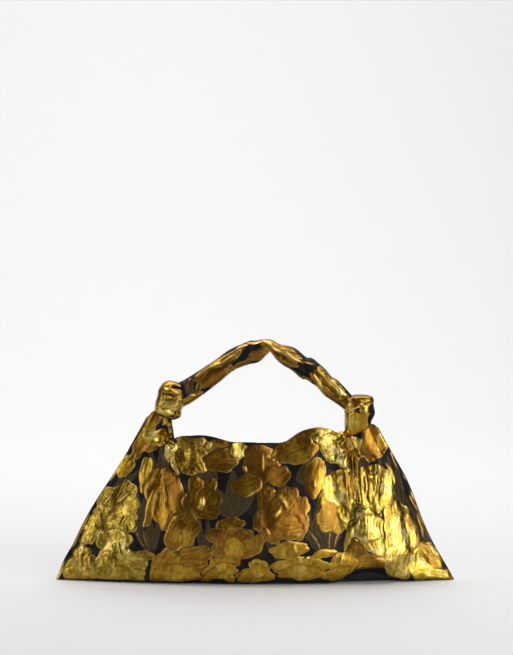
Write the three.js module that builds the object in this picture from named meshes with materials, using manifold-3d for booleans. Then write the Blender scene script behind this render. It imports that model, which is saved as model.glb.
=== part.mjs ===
// Soft trapezoid evening bag in metallic floral jacquard: two sewn outer panels, a loose lining,
// one twisted strap tied in a knot at each end, and a magnetic snap inside the mouth.
// Millimetres, +Z up, front towards -Y, origin on the floor under the middle of the base.
import * as THREE from "three";
import { mergeVertices } from "three/addons/utils/BufferGeometryUtils.js";
import Module from "manifold-3d";

const wasm = await Module();
wasm.setup();

// Driving dimensions of the body
const baseWidth = 400; // between the two lower corners
const baseDepth = 52; // flat base at its deepest
const bulgeDepth = 70; // deepest section, front to back
const bulgeHeight = 40; // height of the deepest section
const mouthHeight = 140; // lowest point of the mouth's edge
const mouthDepth = 28; // across the open mouth, outside to outside
const panelThickness = 1.8;
const liningThickness = 0.8;
const clearance = 0.3; // between pieces that are sewn or lie together
const lensPower = 0.8; // how quickly the two panels open away from their side seams
const liningEase = 3; // how far the lining hangs clear of the panels' sides
const liningDrop = 2; // lining's edge below the mouth's edge

// Corners of the panels that rise into the knots: middle, width of the top, rise above the mouth
const leftHorn = { x: -97, width: 20, rise: 24 };
const rightHorn = { x: 104, width: 22, rise: 10 };
const hornDepth = 14; // front to back, outside
const hornFlare = 5; // width of the slope between a horn and the mouth
const hornLength = 18; // length of a horn that is gathered to a tube
const hornBlend = 14; // height over which the panels open below that tube
const hornPinch = 0.4; // reach of the pinch beside a horn, as a share of the horn's width
const shoulderWidth = 9; // from the right horn's outer side to the side seam

// Waves of the mouth's edge: middle, half width and height
const leftSwell = { x: -55, half: 40, height: 7 };
const rightSwell = { x: 64, half: 42, height: 15 };

// Side seams: how far each leaves the straight line between its ends
const leftBow = 4.5;
const rightFlare = 3.2; // lower part, drawn in
const rightPuff = 3.6; // upper part, standing out

// Soft folds of the panels: from and to as [x, z], half width, height out of the panel
const frontFolds = [
  { from: [112, 150], to: [116, 112], width: 7, height: -5 }, // crease beside the right knot
  { from: [124, 140], to: [126, 116], width: 11, height: 6 }, // lobe outside that crease
  { from: [98, 118], to: [126, 20], width: 15, height: 5 }, // long drape under the right knot
  { from: [76, 114], to: [86, 40], width: 12, height: -3 },
  { from: [150, 84], to: [166, 22], width: 12, height: -4 },
  { from: [64, 152], to: [56, 128], width: 22, height: 4 }, // mouth's edge standing forward
  { from: [24, 138], to: [40, 118], width: 10, height: -2 },
  { from: [-60, 140], to: [-76, 60], width: 14, height: 2.5 },
  { from: [-118, 130], to: [-150, 40], width: 10, height: -2.5 },
  { from: [-20, 70], to: [30, 60], width: 26, height: 2 },
];
const backFolds = [
  { from: [112, 148], to: [128, 60], width: 9, height: -4 },
  { from: [94, 120], to: [100, 24], width: 14, height: 4 },
  { from: [-104, 140], to: [-130, 50], width: 11, height: -4 },
  { from: [-84, 128], to: [-90, 30], width: 15, height: 3.5 },
  { from: [-46, 126], to: [-40, 50], width: 16, height: 2.5 },
];
const gatherCount = 9; // ridges in a full turn about a horn's foot
const gatherHeight = 1.5;
const gatherReach = 46; // distance from the horn at which the ridges have died away

// Strap
const strapWidth = 21; // seen from the front, beside a knot
const strapDepth = 18;
const strapNeck = 17; // width just before the peak
const peakWidth = 13.5; // pinched at the peak
const peakX = 14;
const peakRise = 97; // strap's middle at the peak, above the mouth
const leftRunBow = 5; // how far each run arches above a straight line
const rightRunBow = 8;
const twistPitch = 150; // length of strap for one full turn
const twistLobes = 2;
const lobeDepth = 0.17; // lobes as a share of the strap's radius
const tailWidth = 10; // strap's end, flattened inside a horn
const tailLength = 13; // length of strap inside a horn
const tailNeck = 3; // how far the flattened end stands out of the horn, inside the knot

// Knots: offset of the middle from the horn, height, radius, and lean of the wrap and of its crossing turn
const leftKnot = { shift: 9, height: 36, radius: 13, lean: 0.1, cross: 0.75 };
const rightKnot = { shift: 2, height: 36, radius: 14.5, lean: -0.14, cross: -0.8 };
const knotFlattening = 0.9; // depth of a knot as a share of its width
const knotFolds = 4; // folds round the wrap
const knotFoldDepth = 1.6;
const crossBand = 13; // width of the turn that crosses over the wrap
const crossRise = 2.6; // how far it stands off the wrap
const collarLength = 13; // last turn, where the strap leaves the knot
const collarRise = 3; // how far that turn stands off the strap

// Magnetic snap
const snapDiameter = 18;
const studPlate = 2.4;
const socketPlate = 3.4;
const studDiameter = 6;
const studLength = 2;
const snapX = 0;
const snapDrop = 26; // below the mouth's edge

// Fineness of the meshes
const panelColumns = 36;
const panelRows = 14;
const liningRows = 9;
const liningInset = 2; // columns at each side seam that the lining leaves free
const columnCrowding = 0.45; // columns stand closer together towards the horns
const strapRings = 66;
const strapSides = 12;

// Sizes that follow from those
const baseHalf = baseWidth / 2;
const leftHornTop = mouthHeight + leftHorn.rise;
const rightHornTop = mouthHeight + rightHorn.rise;
const mouthStart = leftHorn.x + leftHorn.width / 2;
const mouthEnd = rightHorn.x - rightHorn.width / 2;
const topStart = leftHorn.x - leftHorn.width / 2;
const topEnd = rightHorn.x + rightHorn.width / 2 + shoulderWidth;
const seamHalf = panelThickness + clearance / 3; // half the thickness of a side seam
const tailDepth = hornDepth - 2 * panelThickness - 4 * clearance;

const { lerp, smoothstep, clamp } = THREE.MathUtils;
const hump = (u) => (Math.abs(u) < 1 ? Math.cos((u * Math.PI) / 2) ** 2 : 0);

// Height of the panels' upper edge above the base
function edgeHeight(x) {
  const left = leftHorn.rise * (1 - smoothstep(x, mouthStart, mouthStart + hornFlare));
  const right = rightHorn.rise * smoothstep(x, mouthEnd - 2 * hornFlare, mouthEnd);
  const swells = [leftSwell, rightSwell].map((w) => w.height * hump((x - w.x) / w.half));
  return mouthHeight + Math.max(left, right, ...swells);
}

// Upper edge of a panel from its left horn to its right shoulder
class UpperEdge extends THREE.Curve {
  getPoint(t, target = new THREE.Vector2()) {
    const x = lerp(topStart, topEnd, t);
    return target.set(x, edgeHeight(x));
  }
}
const upperEdge = new UpperEdge();
upperEdge.arcLengthDivisions = 600;
const edgeLength = upperEdge.getLength();
const leftHornShare = leftHorn.width / edgeLength; // columns that run into the left horn
const rightHornEnd = 1 - shoulderWidth / edgeLength;
const rightHornStart = rightHornEnd - rightHorn.width / edgeLength;

// Side seams, from the base corner at t = 0 to the upper edge at t = 1
const leftSeam = (t) => lerp(-baseHalf, topStart, t) - leftBow * hump((t - 0.4) / 0.4);
const rightSeam = (t) =>
  lerp(baseHalf, topEnd, t) - rightFlare * hump((t - 0.27) / 0.27) + rightPuff * hump((t - 0.7) / 0.3);

// Point [x, z] of a flat panel: column s from seam to seam, row t from base to upper edge
function panelPoint(s, t) {
  const row = Math.min(t, 1);
  const top = upperEdge.getPointAt(s);
  const base = lerp(-baseHalf, baseHalf, s);
  const edges = lerp(base, top.x, row) + lerp(leftSeam(row), rightSeam(row), s);
  const corners = lerp(lerp(-baseHalf, topStart, row), lerp(baseHalf, topEnd, row), s);
  return [edges - corners, t * top.y];
}

// Half depth of the bag at mid-width, at a height under an upper edge
function bodyProfile(z, top) {
  if (z < bulgeHeight) {
    const u = 1 - z / bulgeHeight;
    return lerp(baseDepth, bulgeDepth, Math.sqrt(1 - u * u)) / 2;
  }
  const u = Math.min(1, (z - bulgeHeight) / (top - bulgeHeight));
  return lerp(mouthDepth, bulgeDepth, (1 + Math.cos(Math.PI * u)) / 2) / 2;
}

// Height of one soft fold at a point of the panel
function foldHeight(fold, x, z) {
  const dx = fold.to[0] - fold.from[0];
  const dz = fold.to[1] - fold.from[1];
  const along = ((x - fold.from[0]) * dx + (z - fold.from[1]) * dz) / (dx * dx + dz * dz);
  const held = clamp(along, 0, 1);
  const away = Math.hypot(x - fold.from[0] - held * dx, z - fold.from[1] - held * dz);
  return fold.height * Math.exp(-((away / fold.width) ** 2));
}

// Ridges that fan out below a horn
function gatherAt(hornX, hornFoot, x, z) {
  const reach = Math.hypot(x - hornX, z - hornFoot);
  const fade = smoothstep(reach, 4, 14) * (1 - smoothstep(reach, 14, gatherReach));
  return gatherHeight * fade * Math.cos(gatherCount * Math.atan2(x - hornX, hornFoot - z));
}

// How far a column belongs to a horn, that horn's own half depth there, and where its tube begins
function hornAt(s) {
  const left = s / leftHornShare;
  const right = (s - rightHornStart) / (rightHornEnd - rightHornStart);
  const share = s < 0.5 ? left : right;
  const inside = share > 0 && share < 1 ? Math.sqrt(Math.sin(Math.PI * share)) : 0;
  const beside = Math.max(-share, share - 1);
  const reach = 1 - smoothstep(beside, 0, hornPinch);
  const near = 1 - smoothstep(beside, hornPinch, 3 * hornPinch);
  const foot = (s < 0.5 ? leftHornTop : rightHornTop) - hornLength;
  return { reach, near, half: lerp(seamHalf, hornDepth / 2, inside), foot };
}

// Half depth of the outer surface on the side of these folds
function outerHalf(folds, s, t) {
  const row = Math.min(t, 1);
  const [x, z] = panelPoint(s, row);
  const top = upperEdge.getPointAt(s).y;
  const lens = Math.sin(Math.PI * clamp(s, 0, 1)) ** lensPower;
  const gathers =
    gatherAt(leftHorn.x, leftHornTop - hornLength, x, z) +
    gatherAt(rightHorn.x, rightHornTop - hornLength / 2, x, z);
  const relief = gathers + folds.reduce((sum, fold) => sum + foldHeight(fold, x, z), 0);
  const settled = smoothstep(z, 0, bulgeHeight / 2) * smoothstep(lens, 0, 0.5);
  const body = seamHalf + lens * (bodyProfile(z, top) - seamHalf) + relief * settled;
  const horn = hornAt(s);
  const gathered = horn.reach * smoothstep(z, horn.foot - hornBlend, horn.foot);
  return Math.max(seamHalf, lerp(body, horn.half, gathered));
}

// Solid of a closed geometry
function solidOf(geometry) {
  const bare = geometry.clone();
  bare.deleteAttribute("normal");
  bare.deleteAttribute("uv");
  const merged = mergeVertices(bare, 1e-4);
  const faces = [];
  for (let i = 0; i < merged.index.count; i += 3) {
    const [a, b, c] = merged.index.array.slice(i, i + 3);
    if (a !== b && b !== c && c !== a) faces.push(a, b, c);
  }
  return new wasm.Manifold(
    new wasm.Mesh({
      numProp: 3,
      vertProperties: new Float32Array(merged.attributes.position.array),
      triVerts: new Uint32Array(faces),
    }),
  );
}

// Geometry of a solid
function geometryOf(solid) {
  const mesh = solid.getMesh();
  const geometry = new THREE.BufferGeometry();
  geometry.setAttribute("position", new THREE.BufferAttribute(mesh.vertProperties.slice(), 3));
  geometry.setIndex(new THREE.BufferAttribute(mesh.triVerts.slice(), 1));
  geometry.computeVertexNormals();
  return geometry;
}

// Closed body between a front sheet and a back sheet on the same columns and rows
function pillow(columns, rows, frontAt, backAt) {
  const points = [];
  const faces = [];
  const perSheet = columns + 1;
  const front = (c, r) => r * 2 * perSheet + c;
  const back = (c, r) => (r * 2 + 1) * perSheet + c;
  const quad = (a, b, c, d) => faces.push(a, b, c, a, c, d);
  for (let r = 0; r <= rows; r++)
    for (const sheet of [frontAt, backAt])
      for (let c = 0; c <= columns; c++) points.push(...sheet(c / columns, r / rows));
  for (let r = 0; r < rows; r++) {
    for (let c = 0; c < columns; c++) {
      quad(front(c, r), front(c + 1, r), front(c + 1, r + 1), front(c, r + 1));
      quad(back(c + 1, r), back(c, r), back(c, r + 1), back(c + 1, r + 1));
    }
    quad(back(0, r), front(0, r), front(0, r + 1), back(0, r + 1));
    quad(front(columns, r), back(columns, r), back(columns, r + 1), front(columns, r + 1));
  }
  for (let c = 0; c < columns; c++) {
    quad(front(c, 0), back(c, 0), back(c + 1, 0), front(c + 1, 0));
    quad(front(c, rows), front(c + 1, rows), back(c + 1, rows), back(c, rows));
  }
  const geometry = new THREE.BufferGeometry();
  geometry.setAttribute("position", new THREE.Float32BufferAttribute(points, 3));
  geometry.setIndex(faces);
  return geometry;
}

// Body of the bag taken in by a floor and by sides, without the outermost columns;
// its top stops where told and may stand above that
function bodySolid({ rows, floor, sides, inset, stopAt, above }) {
  const sheet = (folds, side) => (c, r) => {
    const column = lerp(inset, panelColumns - inset, c) / panelColumns;
    const s = column - (columnCrowding * Math.sin(2 * Math.PI * column)) / (2 * Math.PI);
    const top = upperEdge.getPointAt(s).y;
    const t = lerp(floor / top, stopAt(s, top) / top, r);
    const [x, z] = panelPoint(s, t);
    const half = Math.max(clearance / 6, outerHalf(folds, s, t) - sides);
    return [x, side * half, r === 1 ? z + above : z];
  };
  const columns = Math.round(panelColumns - 2 * inset);
  return solidOf(pillow(columns, rows, sheet(frontFolds, -1), sheet(backFolds, 1)));
}

// Outer panels: one shell, parted along the seams
const toEdge = (s, top) => top;
const outside = bodySolid({
  rows: panelRows,
  floor: 0,
  sides: 0,
  inset: 0,
  stopAt: toEdge,
  above: 0,
});
const inside = bodySolid({
  rows: panelRows,
  floor: panelThickness,
  sides: panelThickness,
  inset: 0.1,
  stopAt: toEdge,
  above: clearance,
});
const shell = outside.subtract(inside);
const reach = baseWidth + mouthHeight + bulgeDepth;
function halfSpace(side) {
  const box = new THREE.BoxGeometry(2 * reach, reach, 2 * reach);
  return solidOf(box.translate(0, (side * (reach + clearance)) / 2, 0));
}
const frontPanel = shell.intersect(halfSpace(-1));
const backPanel = shell.intersect(halfSpace(1));

// Lining: a pouch that stops at the mouth, and below the strap's tails at the horns
function liningStop(s, top) {
  const horn = hornAt(s);
  return lerp(top, horn.foot - hornBlend, horn.near) - liningDrop;
}
const liningFloor = panelThickness + clearance;
const liningSides = panelThickness + clearance + liningEase;
const pouch = bodySolid({
  rows: liningRows,
  floor: liningFloor,
  sides: liningSides,
  inset: liningInset,
  stopAt: liningStop,
  above: 0,
});
const hollow = bodySolid({
  rows: liningRows,
  floor: liningFloor + liningThickness,
  sides: liningSides + liningThickness,
  inset: liningInset + 0.1,
  stopAt: liningStop,
  above: clearance,
});
const lining = pouch.subtract(hollow);

// Strap: stations from one tail to the other, each with its place and its section
const at = (x, z) => new THREE.Vector3(x, 0, z);
function knotMiddle(knot, horn, hornTop) {
  const dip = knot.radius * Math.abs(knot.lean); // the leaning wrap's lower rim
  return at(horn.x + knot.shift, hornTop + clearance + dip + knot.height / 2);
}
const leftKnotAt = knotMiddle(leftKnot, leftHorn, leftHornTop);
const rightKnotAt = knotMiddle(rightKnot, rightHorn, rightHornTop);
const peakAt = at(peakX, mouthHeight + peakRise);
function run(from, to, share, bow) {
  const point = from.clone().lerp(to, share);
  point.z += 4 * bow * share * (1 - share);
  return point;
}
// Middle of the gathered tube under a horn, at a depth below its top
function hornMiddle(s, below) {
  const top = upperEdge.getPointAt(s).y;
  return at(...panelPoint(s, 1 - below / top));
}
const leftMiddle = leftHornShare / 2;
const rightMiddle = (rightHornStart + rightHornEnd) / 2;
const tail = { wide: tailWidth, deep: tailDepth, lobe: 0 };
const strap = { wide: strapWidth, deep: strapDepth, lobe: lobeDepth };
const neck = { wide: strapNeck, deep: strapDepth, lobe: lobeDepth };
const peak = { wide: peakWidth, deep: strapDepth, lobe: lobeDepth / 2 };
const stations = [
  { ...tail, place: hornMiddle(leftMiddle, tailLength) },
  { ...tail, place: hornMiddle(leftMiddle, tailLength / 2) },
  { ...tail, place: hornMiddle(leftMiddle, -tailNeck) },
  { ...strap, place: leftKnotAt },
  { ...strap, place: run(leftKnotAt, peakAt, 0.3, leftRunBow) },
  { ...strap, place: run(leftKnotAt, peakAt, 0.55, leftRunBow) },
  { ...neck, place: run(leftKnotAt, peakAt, 0.8, leftRunBow) },
  { ...peak, place: peakAt },
  { ...neck, place: run(peakAt, rightKnotAt, 0.22, rightRunBow) },
  { ...strap, place: run(peakAt, rightKnotAt, 0.5, rightRunBow) },
  { ...strap, place: run(peakAt, rightKnotAt, 0.78, rightRunBow) },
  { ...strap, place: rightKnotAt },
  { ...tail, place: hornMiddle(rightMiddle, -tailNeck) },
  { ...tail, place: hornMiddle(rightMiddle, tailLength / 2) },
  { ...tail, place: hornMiddle(rightMiddle, tailLength) },
];
const strapPath = new THREE.CatmullRomCurve3(stations.map((station) => station.place));

// Closed tube along the strap's path, its section taken from the stations and turning as it goes
function strapGeometry() {
  const points = [];
  const faces = [];
  const ringAt = (r, k) => r * strapSides + (k % strapSides);
  for (let r = 0; r <= strapRings; r++) {
    const t = r / strapRings;
    const place = (stations.length - 1) * t;
    const before = stations[Math.floor(place)];
    const after = stations[Math.ceil(place)];
    const share = place - Math.floor(place);
    const middle = strapPath.getPoint(t);
    const ahead = strapPath.getTangent(t);
    const up = new THREE.Vector3(-ahead.z, 0, ahead.x);
    const turn = (2 * Math.PI * strapPath.getLength() * t) / twistPitch;
    for (let k = 0; k < strapSides; k++) {
      const angle = (2 * Math.PI * k) / strapSides;
      const lobes = 1 + lerp(before.lobe, after.lobe, share) * Math.cos(twistLobes * (angle - turn));
      const high = (lerp(before.wide, after.wide, share) / 2) * lobes * Math.cos(angle);
      const deep = (lerp(before.deep, after.deep, share) / 2) * lobes * Math.sin(angle);
      points.push(middle.x + up.x * high, deep, middle.z + up.z * high);
    }
  }
  const start = points.length / 3;
  for (const end of [stations[0], stations[stations.length - 1]]) points.push(...end.place.toArray());
  for (let k = 0; k < strapSides; k++) {
    for (let r = 0; r < strapRings; r++) {
      faces.push(ringAt(r, k), ringAt(r + 1, k + 1), ringAt(r, k + 1));
      faces.push(ringAt(r, k), ringAt(r + 1, k), ringAt(r + 1, k + 1));
    }
    faces.push(start, ringAt(0, k), ringAt(0, k + 1));
    faces.push(start + 1, ringAt(strapRings, k + 1), ringAt(strapRings, k));
  }
  const geometry = new THREE.BufferGeometry();
  geometry.setAttribute("position", new THREE.Float32BufferAttribute(points, 3));
  geometry.setIndex(faces);
  return geometry;
}

// Rounded drum about +Y with soft folds round it
function drum(radius, height, folds, foldDepth) {
  const profile = [new THREE.Vector2(0, -height / 2)];
  const steps = 16;
  for (let i = 0; i <= steps; i++) {
    const angle = Math.PI * (i / steps - 0.5);
    const level = Math.sin(angle);
    const crease = foldDepth * (1 - Math.cos(2 * Math.PI * folds * (i / steps))) * 0.5;
    const out = radius * Math.abs(Math.cos(angle)) ** 0.35 - crease * Math.cos(angle);
    profile.push(new THREE.Vector2(Math.max(out, 0), (level * height) / 2));
  }
  profile.push(new THREE.Vector2(0, height / 2));
  return new THREE.LatheGeometry(profile, 20);
}

// Knot: a leaning wrap about the strap, a turn that crosses over it, and one where the strap leaves it
function knotSolid(knot, middle, exit) {
  const wrap = drum(knot.radius, knot.height, knotFolds, knotFoldDepth);
  wrap.rotateX(Math.PI / 2).scale(1, knotFlattening, 1).rotateY(knot.lean);
  wrap.translate(...middle.toArray());
  const across = new THREE.TorusGeometry(knot.radius - crossRise, 2 * crossRise, 8, 22);
  across.scale(1, knotFlattening, crossBand / (4 * crossRise)).rotateY(knot.cross);
  across.translate(...middle.toArray());
  const away = exit.clone().sub(middle).normalize();
  const collar = drum(strapWidth / 2 + collarRise, collarLength, 1, 0);
  collar.applyQuaternion(new THREE.Quaternion().setFromUnitVectors(new THREE.Vector3(0, 1, 0), away));
  collar.translate(...middle.clone().addScaledVector(away, knot.radius - collarLength / 4).toArray());
  return solidOf(wrap).add(solidOf(across)).add(solidOf(collar));
}
const handle = solidOf(strapGeometry())
  .add(knotSolid(leftKnot, leftKnotAt, stations[4].place))
  .add(knotSolid(rightKnot, rightKnotAt, stations[stations.length - 5].place));

// Magnetic snap: each half stands on the lining's inner face, square to it
function liningFace(folds, side, s, t) {
  const [x, z] = panelPoint(s, t);
  return new THREE.Vector3(x, side * (outerHalf(folds, s, t) - liningSides - liningThickness), z);
}
function seatOnLining(folds, side) {
  let s = 0.5;
  for (let i = 0; i < 8; i++) s += (snapX - panelPoint(s, 0.8)[0]) / baseWidth;
  const t = 1 - snapDrop / upperEdge.getPointAt(s).y;
  const step = 0.02;
  const across = liningFace(folds, side, s + step, t).sub(liningFace(folds, side, s - step, t));
  const upward = liningFace(folds, side, s, t + step).sub(liningFace(folds, side, s, t - step));
  const inward = across.cross(upward).multiplyScalar(side).normalize();
  const seat = liningFace(folds, side, s, t).addScaledVector(inward, clearance);
  const turn = new THREE.Quaternion().setFromUnitVectors(new THREE.Vector3(0, 1, 0), inward);
  return new THREE.Matrix4().compose(seat, turn, new THREE.Vector3(1, 1, 1));
}
const plate = (diameter, length, from) =>
  new THREE.CylinderGeometry(diameter / 2, diameter / 2, length, 28).translate(0, from + length / 2, 0);
const stud = solidOf(plate(snapDiameter, studPlate, 0))
  .add(solidOf(plate(studDiameter, studPlate + studLength, 0)));
const socket = solidOf(plate(snapDiameter, socketPlate, 0))
  .subtract(solidOf(plate(studDiameter + 2 * clearance, socketPlate, socketPlate - studLength - clearance)));

const jacquard = new THREE.MeshStandardMaterial({ color: 0x8a6420, roughness: 0.35, metalness: 0.8 });
const satin = new THREE.MeshStandardMaterial({ color: 0x1c1712, roughness: 0.4, metalness: 0 });
const brass = new THREE.MeshStandardMaterial({ color: 0xb9a56a, roughness: 0.25, metalness: 1 });

const bag = new THREE.Group();
function addPiece(name, geometry, material) {
  const mesh = new THREE.Mesh(geometry, material);
  mesh.name = name;
  bag.add(mesh);
}
addPiece("front_panel", geometryOf(frontPanel), jacquard);
addPiece("back_panel", geometryOf(backPanel), jacquard);
addPiece("lining", geometryOf(lining), satin);
addPiece("knotted_handle", geometryOf(handle), jacquard);
addPiece("snap_stud", geometryOf(stud).applyMatrix4(seatOnLining(frontFolds, -1)), brass);
addPiece("snap_socket", geometryOf(socket).applyMatrix4(seatOnLining(backFolds, 1)), brass);

export default bag;
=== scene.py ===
"""Looks of a soft evening bag in metallic floral jacquard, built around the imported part.

Lengths are millimetres until a mesh is made, and metres in the part's own frame from there on.
The front of the bag is towards -Y and the bag stands on z = 0.
"""

import math
from collections import namedtuple

import bpy
import numpy as np
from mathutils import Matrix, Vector


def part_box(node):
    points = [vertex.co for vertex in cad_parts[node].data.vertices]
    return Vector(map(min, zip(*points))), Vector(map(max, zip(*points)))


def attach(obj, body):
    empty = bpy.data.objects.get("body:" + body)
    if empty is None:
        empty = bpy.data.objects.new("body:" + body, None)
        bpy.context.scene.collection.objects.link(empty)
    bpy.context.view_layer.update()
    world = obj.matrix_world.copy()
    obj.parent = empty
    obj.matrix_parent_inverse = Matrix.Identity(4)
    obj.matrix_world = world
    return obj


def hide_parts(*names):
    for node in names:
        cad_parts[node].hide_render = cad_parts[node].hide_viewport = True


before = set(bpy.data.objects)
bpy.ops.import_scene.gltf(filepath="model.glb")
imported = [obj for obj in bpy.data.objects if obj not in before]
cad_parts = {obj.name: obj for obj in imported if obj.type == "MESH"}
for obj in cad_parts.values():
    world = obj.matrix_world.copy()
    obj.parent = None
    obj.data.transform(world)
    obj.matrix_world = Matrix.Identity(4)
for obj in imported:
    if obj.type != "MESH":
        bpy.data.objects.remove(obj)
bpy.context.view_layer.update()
MM = 0.001

# Kinds of named value
Span = namedtuple("Span", "low high")
Grain = namedtuple("Grain", "size seed low high", defaults=(-1, 1))  # noise, and levels of its patches
Horn = namedtuple("Horn", "x width rise")
Swell = namedtuple("Swell", "x half height")
Fold = namedtuple("Fold", "x0 z0 x1 z1 width height")
Petal = namedtuple("Petal", "x z length width turn shade taper ruffle", defaults=(0, 0.1, 1))
Bloom = namedtuple("Bloom", "tone crinkle petals")
Blade = namedtuple("Blade", "x z length width turn")
Pattern = namedtuple("Pattern", "blooms blades pleats gap")
Patch = namedtuple("Patch", "points fields wraps")

# Sizes taken from the frame
panel_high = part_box("front_panel")[1] / MM
BASE_HALF = panel_high.x
LEFT_HORN_TOP = panel_high.z

# Body: its section front to back
BASE_DEPTH = 52
BULGE_DEPTH = 70
BULGE_HEIGHT = 40
MOUTH_DEPTH = 28
SEAM_HALF = 0.08  # half the gap that the two panels leave at a side seam
LENS_POWER = 0.8
BASE_ROUND = 4  # radius of the turn from a panel's face to its base
BASE_ROUND_DEPTH = Span(2, 10)
BASE_LIFT = 0.4  # cloth above the floor

# Body: corners that rise into the knots
LEFT_HORN = Horn(x=-96.5, width=24, rise=24)
RIGHT_HORN = Horn(x=104, width=22, rise=10)
HORN_DEPTH = 14
HORN_FLARE = 5
HORN_LENGTH = 18
HORN_BLEND = 14
HORN_PINCH = 0.4
SHOULDER = 9
MOUTH_HEIGHT = LEFT_HORN_TOP - LEFT_HORN.rise
MOUTH_START = LEFT_HORN.x + LEFT_HORN.width / 2
MOUTH_END = RIGHT_HORN.x - RIGHT_HORN.width / 2
TOP_START = LEFT_HORN.x - LEFT_HORN.width / 2
TOP_END = RIGHT_HORN.x + RIGHT_HORN.width / 2 + SHOULDER
RIGHT_HORN_TOP = MOUTH_HEIGHT + RIGHT_HORN.rise

# Body: waves of the upper and lower edge
SWELLS = [Swell(-55, 40, 7), Swell(64, 42, 15)]
# What the front's upper edge has beyond those, first the ear outside the right knot and the notch under it
FRONT_WAVES = [Swell(117, 12, 7), Swell(100, 9, -4), Swell(17, 20, -4), Swell(-100, 9, 7)]
FRONT_WAVES += [Swell(88, 8, 4), Swell(44, 16, 2), Swell(-75, 14, 2)]
BACK_DROP = 3.5  # the back's upper edge stands lower
WAVE_REACH = 40  # how far down a panel they fade
HEM_ARCH = Swell(112, 44, 10)  # where the front's lower edge stands off the floor
ARCH_REACH = 30

# Body: waves of the side seams, with their places as shares of the seam
LEFT_SEAM = [Swell(0.4, 0.4, -4.5), Swell(0.12, 0.12, -2)]
RIGHT_SEAM = [Swell(0.27, 0.27, -2.2), Swell(0.7, 0.3, 3.6)]

# Soft folds of the panels: ends in x and z, half width, height out of the panel
FRONT_FOLDS = [
    (112, 150, 116, 112, 5, -6), (124, 146, 124, 116, 11, 7), (98, 118, 126, 20, 15, 5),
    (96, 142, 100, 84, 4, -3.5), (88, 138, 90, 90, 6, 2.5), (76, 114, 86, 40, 12, -1.5),
    (116, 100, 122, 70, 4, -2), (150, 84, 166, 22, 12, -4), (138, 96, 150, 30, 7, 2.5),
    (64, 152, 56, 128, 22, 4), (24, 138, 40, 118, 10, -2), (-60, 140, -76, 60, 14, 2.5),
    (-92, 160, -88, 140, 4, -3), (-102, 146, -92, 134, 6, 3), (-118, 130, -150, 40, 10, -2.5),
    (-20, 70, 30, 60, 26, 2), (-24, 138, -22, 126, 6, 2.5), (-94, 138, -92, 122, 6, 2.5),
]
BACK_FOLDS = [
    (112, 148, 128, 60, 9, -4), (94, 120, 100, 24, 14, 4), (-104, 140, -130, 50, 11, -4),
    (-84, 128, -90, 30, 15, 3.5), (-46, 126, -40, 50, 16, 2.5),
]
FOLD_START = 0.5  # share of the bag's fullness at which folds have their full height
GATHER_COUNT = 9
GATHER_HEIGHT = 1.5
GATHER_RISE = Span(4, 14)  # distances from a gathered corner over which its pleats rise
GATHER_FALL = Span(14, 46)

# Photograph: pixel of the bag's middle and base, and its scale on the front panel and on the strap
PHOTO_MIDDLE = 255
PHOTO_BASE = 584
MM_PER_PX = 0.995
STRAP_MM_PER_PX = 0.996
STRAP_TOP = 242.6
STRAP_TOP_PX = 339

# Creases of crumpled threads: spread across and up the cloth, lean, share of the height, and whether sharp
Crease = namedtuple("Crease", "grain across up lean share sharp")
CREASES = [
    Crease(Grain(10, 14), 1, 0.7, 0, 0.5, False),
    Crease(Grain(13, 12), 1, 0.6, 1, 0.5, True),
    Crease(Grain(4.5, 13), 1.2, 0.5, -1, 0.2, False),
    Crease(Grain(2.8, 15), 1, 0.6, 1, 0.13, False),
]
CREASE_LEAN = 0.35
LEAN_GRAIN = Grain(40, 11)
PLEAT_ENDS = 0.8  # share of a pleat that runs out


def smooth(x, low, high):
    share = np.clip((x - low) / (high - low), 0, 1)
    return share * share * (3 - 2 * share)


def mix(a, b, share):
    return a + (b - a) * share


def hump(u):
    return np.where(np.abs(u) < 1, np.cos(np.clip(u, -1, 1) * np.pi / 2) ** 2, 0)


def swell(wave, x):
    return wave.height * hump((x - wave.x) / wave.half)


def stacked(*values):
    """A grid of points from the coordinates of each."""
    return np.stack(np.broadcast_arrays(*values), axis=2)


def fold_height(fold, x, z):
    dx, dz = fold.x1 - fold.x0, fold.z1 - fold.z0
    along = np.clip(((x - fold.x0) * dx + (z - fold.z0) * dz) / (dx * dx + dz * dz), 0, 1)
    away = np.hypot(x - fold.x0 - along * dx, z - fold.z0 - along * dz)
    return fold.height * np.exp(-((away / fold.width) ** 2)), along


def pleat_height(fold, x, z):
    """A fold that runs out at both ends."""
    height, along = fold_height(fold, x, z)
    return height * smooth(1 - np.abs(2 * along - 1), 0, PLEAT_ENDS)


def noise(x, z, grain):
    """Smooth noise from -1 to 1."""
    count = 97
    lattice = np.random.default_rng(grain.seed).uniform(-1, 1, (count, count))
    u, v = x / grain.size, z / grain.size
    i, j = np.floor(u).astype(int), np.floor(v).astype(int)
    a, b = smooth(u - i, 0, 1), smooth(v - j, 0, 1)
    low = mix(lattice[i % count, j % count], lattice[(i + 1) % count, j % count], a)
    high = mix(lattice[i % count, (j + 1) % count], lattice[(i + 1) % count, (j + 1) % count], a)
    return mix(low, high, b)


def patchy(x, z, grain):
    """Smooth patches, from 0 where the noise is low to 1 where it is high."""
    return smooth(noise(x, z, grain), grain.low, grain.high)


def crumple(x, z):
    """Sharp ridges and flat facets, as in creased foil, from about -1 to 1."""
    lean = CREASE_LEAN * noise(x, z, LEAN_GRAIN) * z
    height = 0
    for crease in CREASES:
        layer = noise(crease.across * x + crease.lean * lean, crease.up * z, crease.grain)
        height = height + crease.share * (1 - 2 * np.abs(layer) if crease.sharp else layer)
    return height


# Upper edge of a panel, by its own length
EDGE_POINTS = 1200
EDGE_X = np.linspace(TOP_START, TOP_END, EDGE_POINTS)


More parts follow.
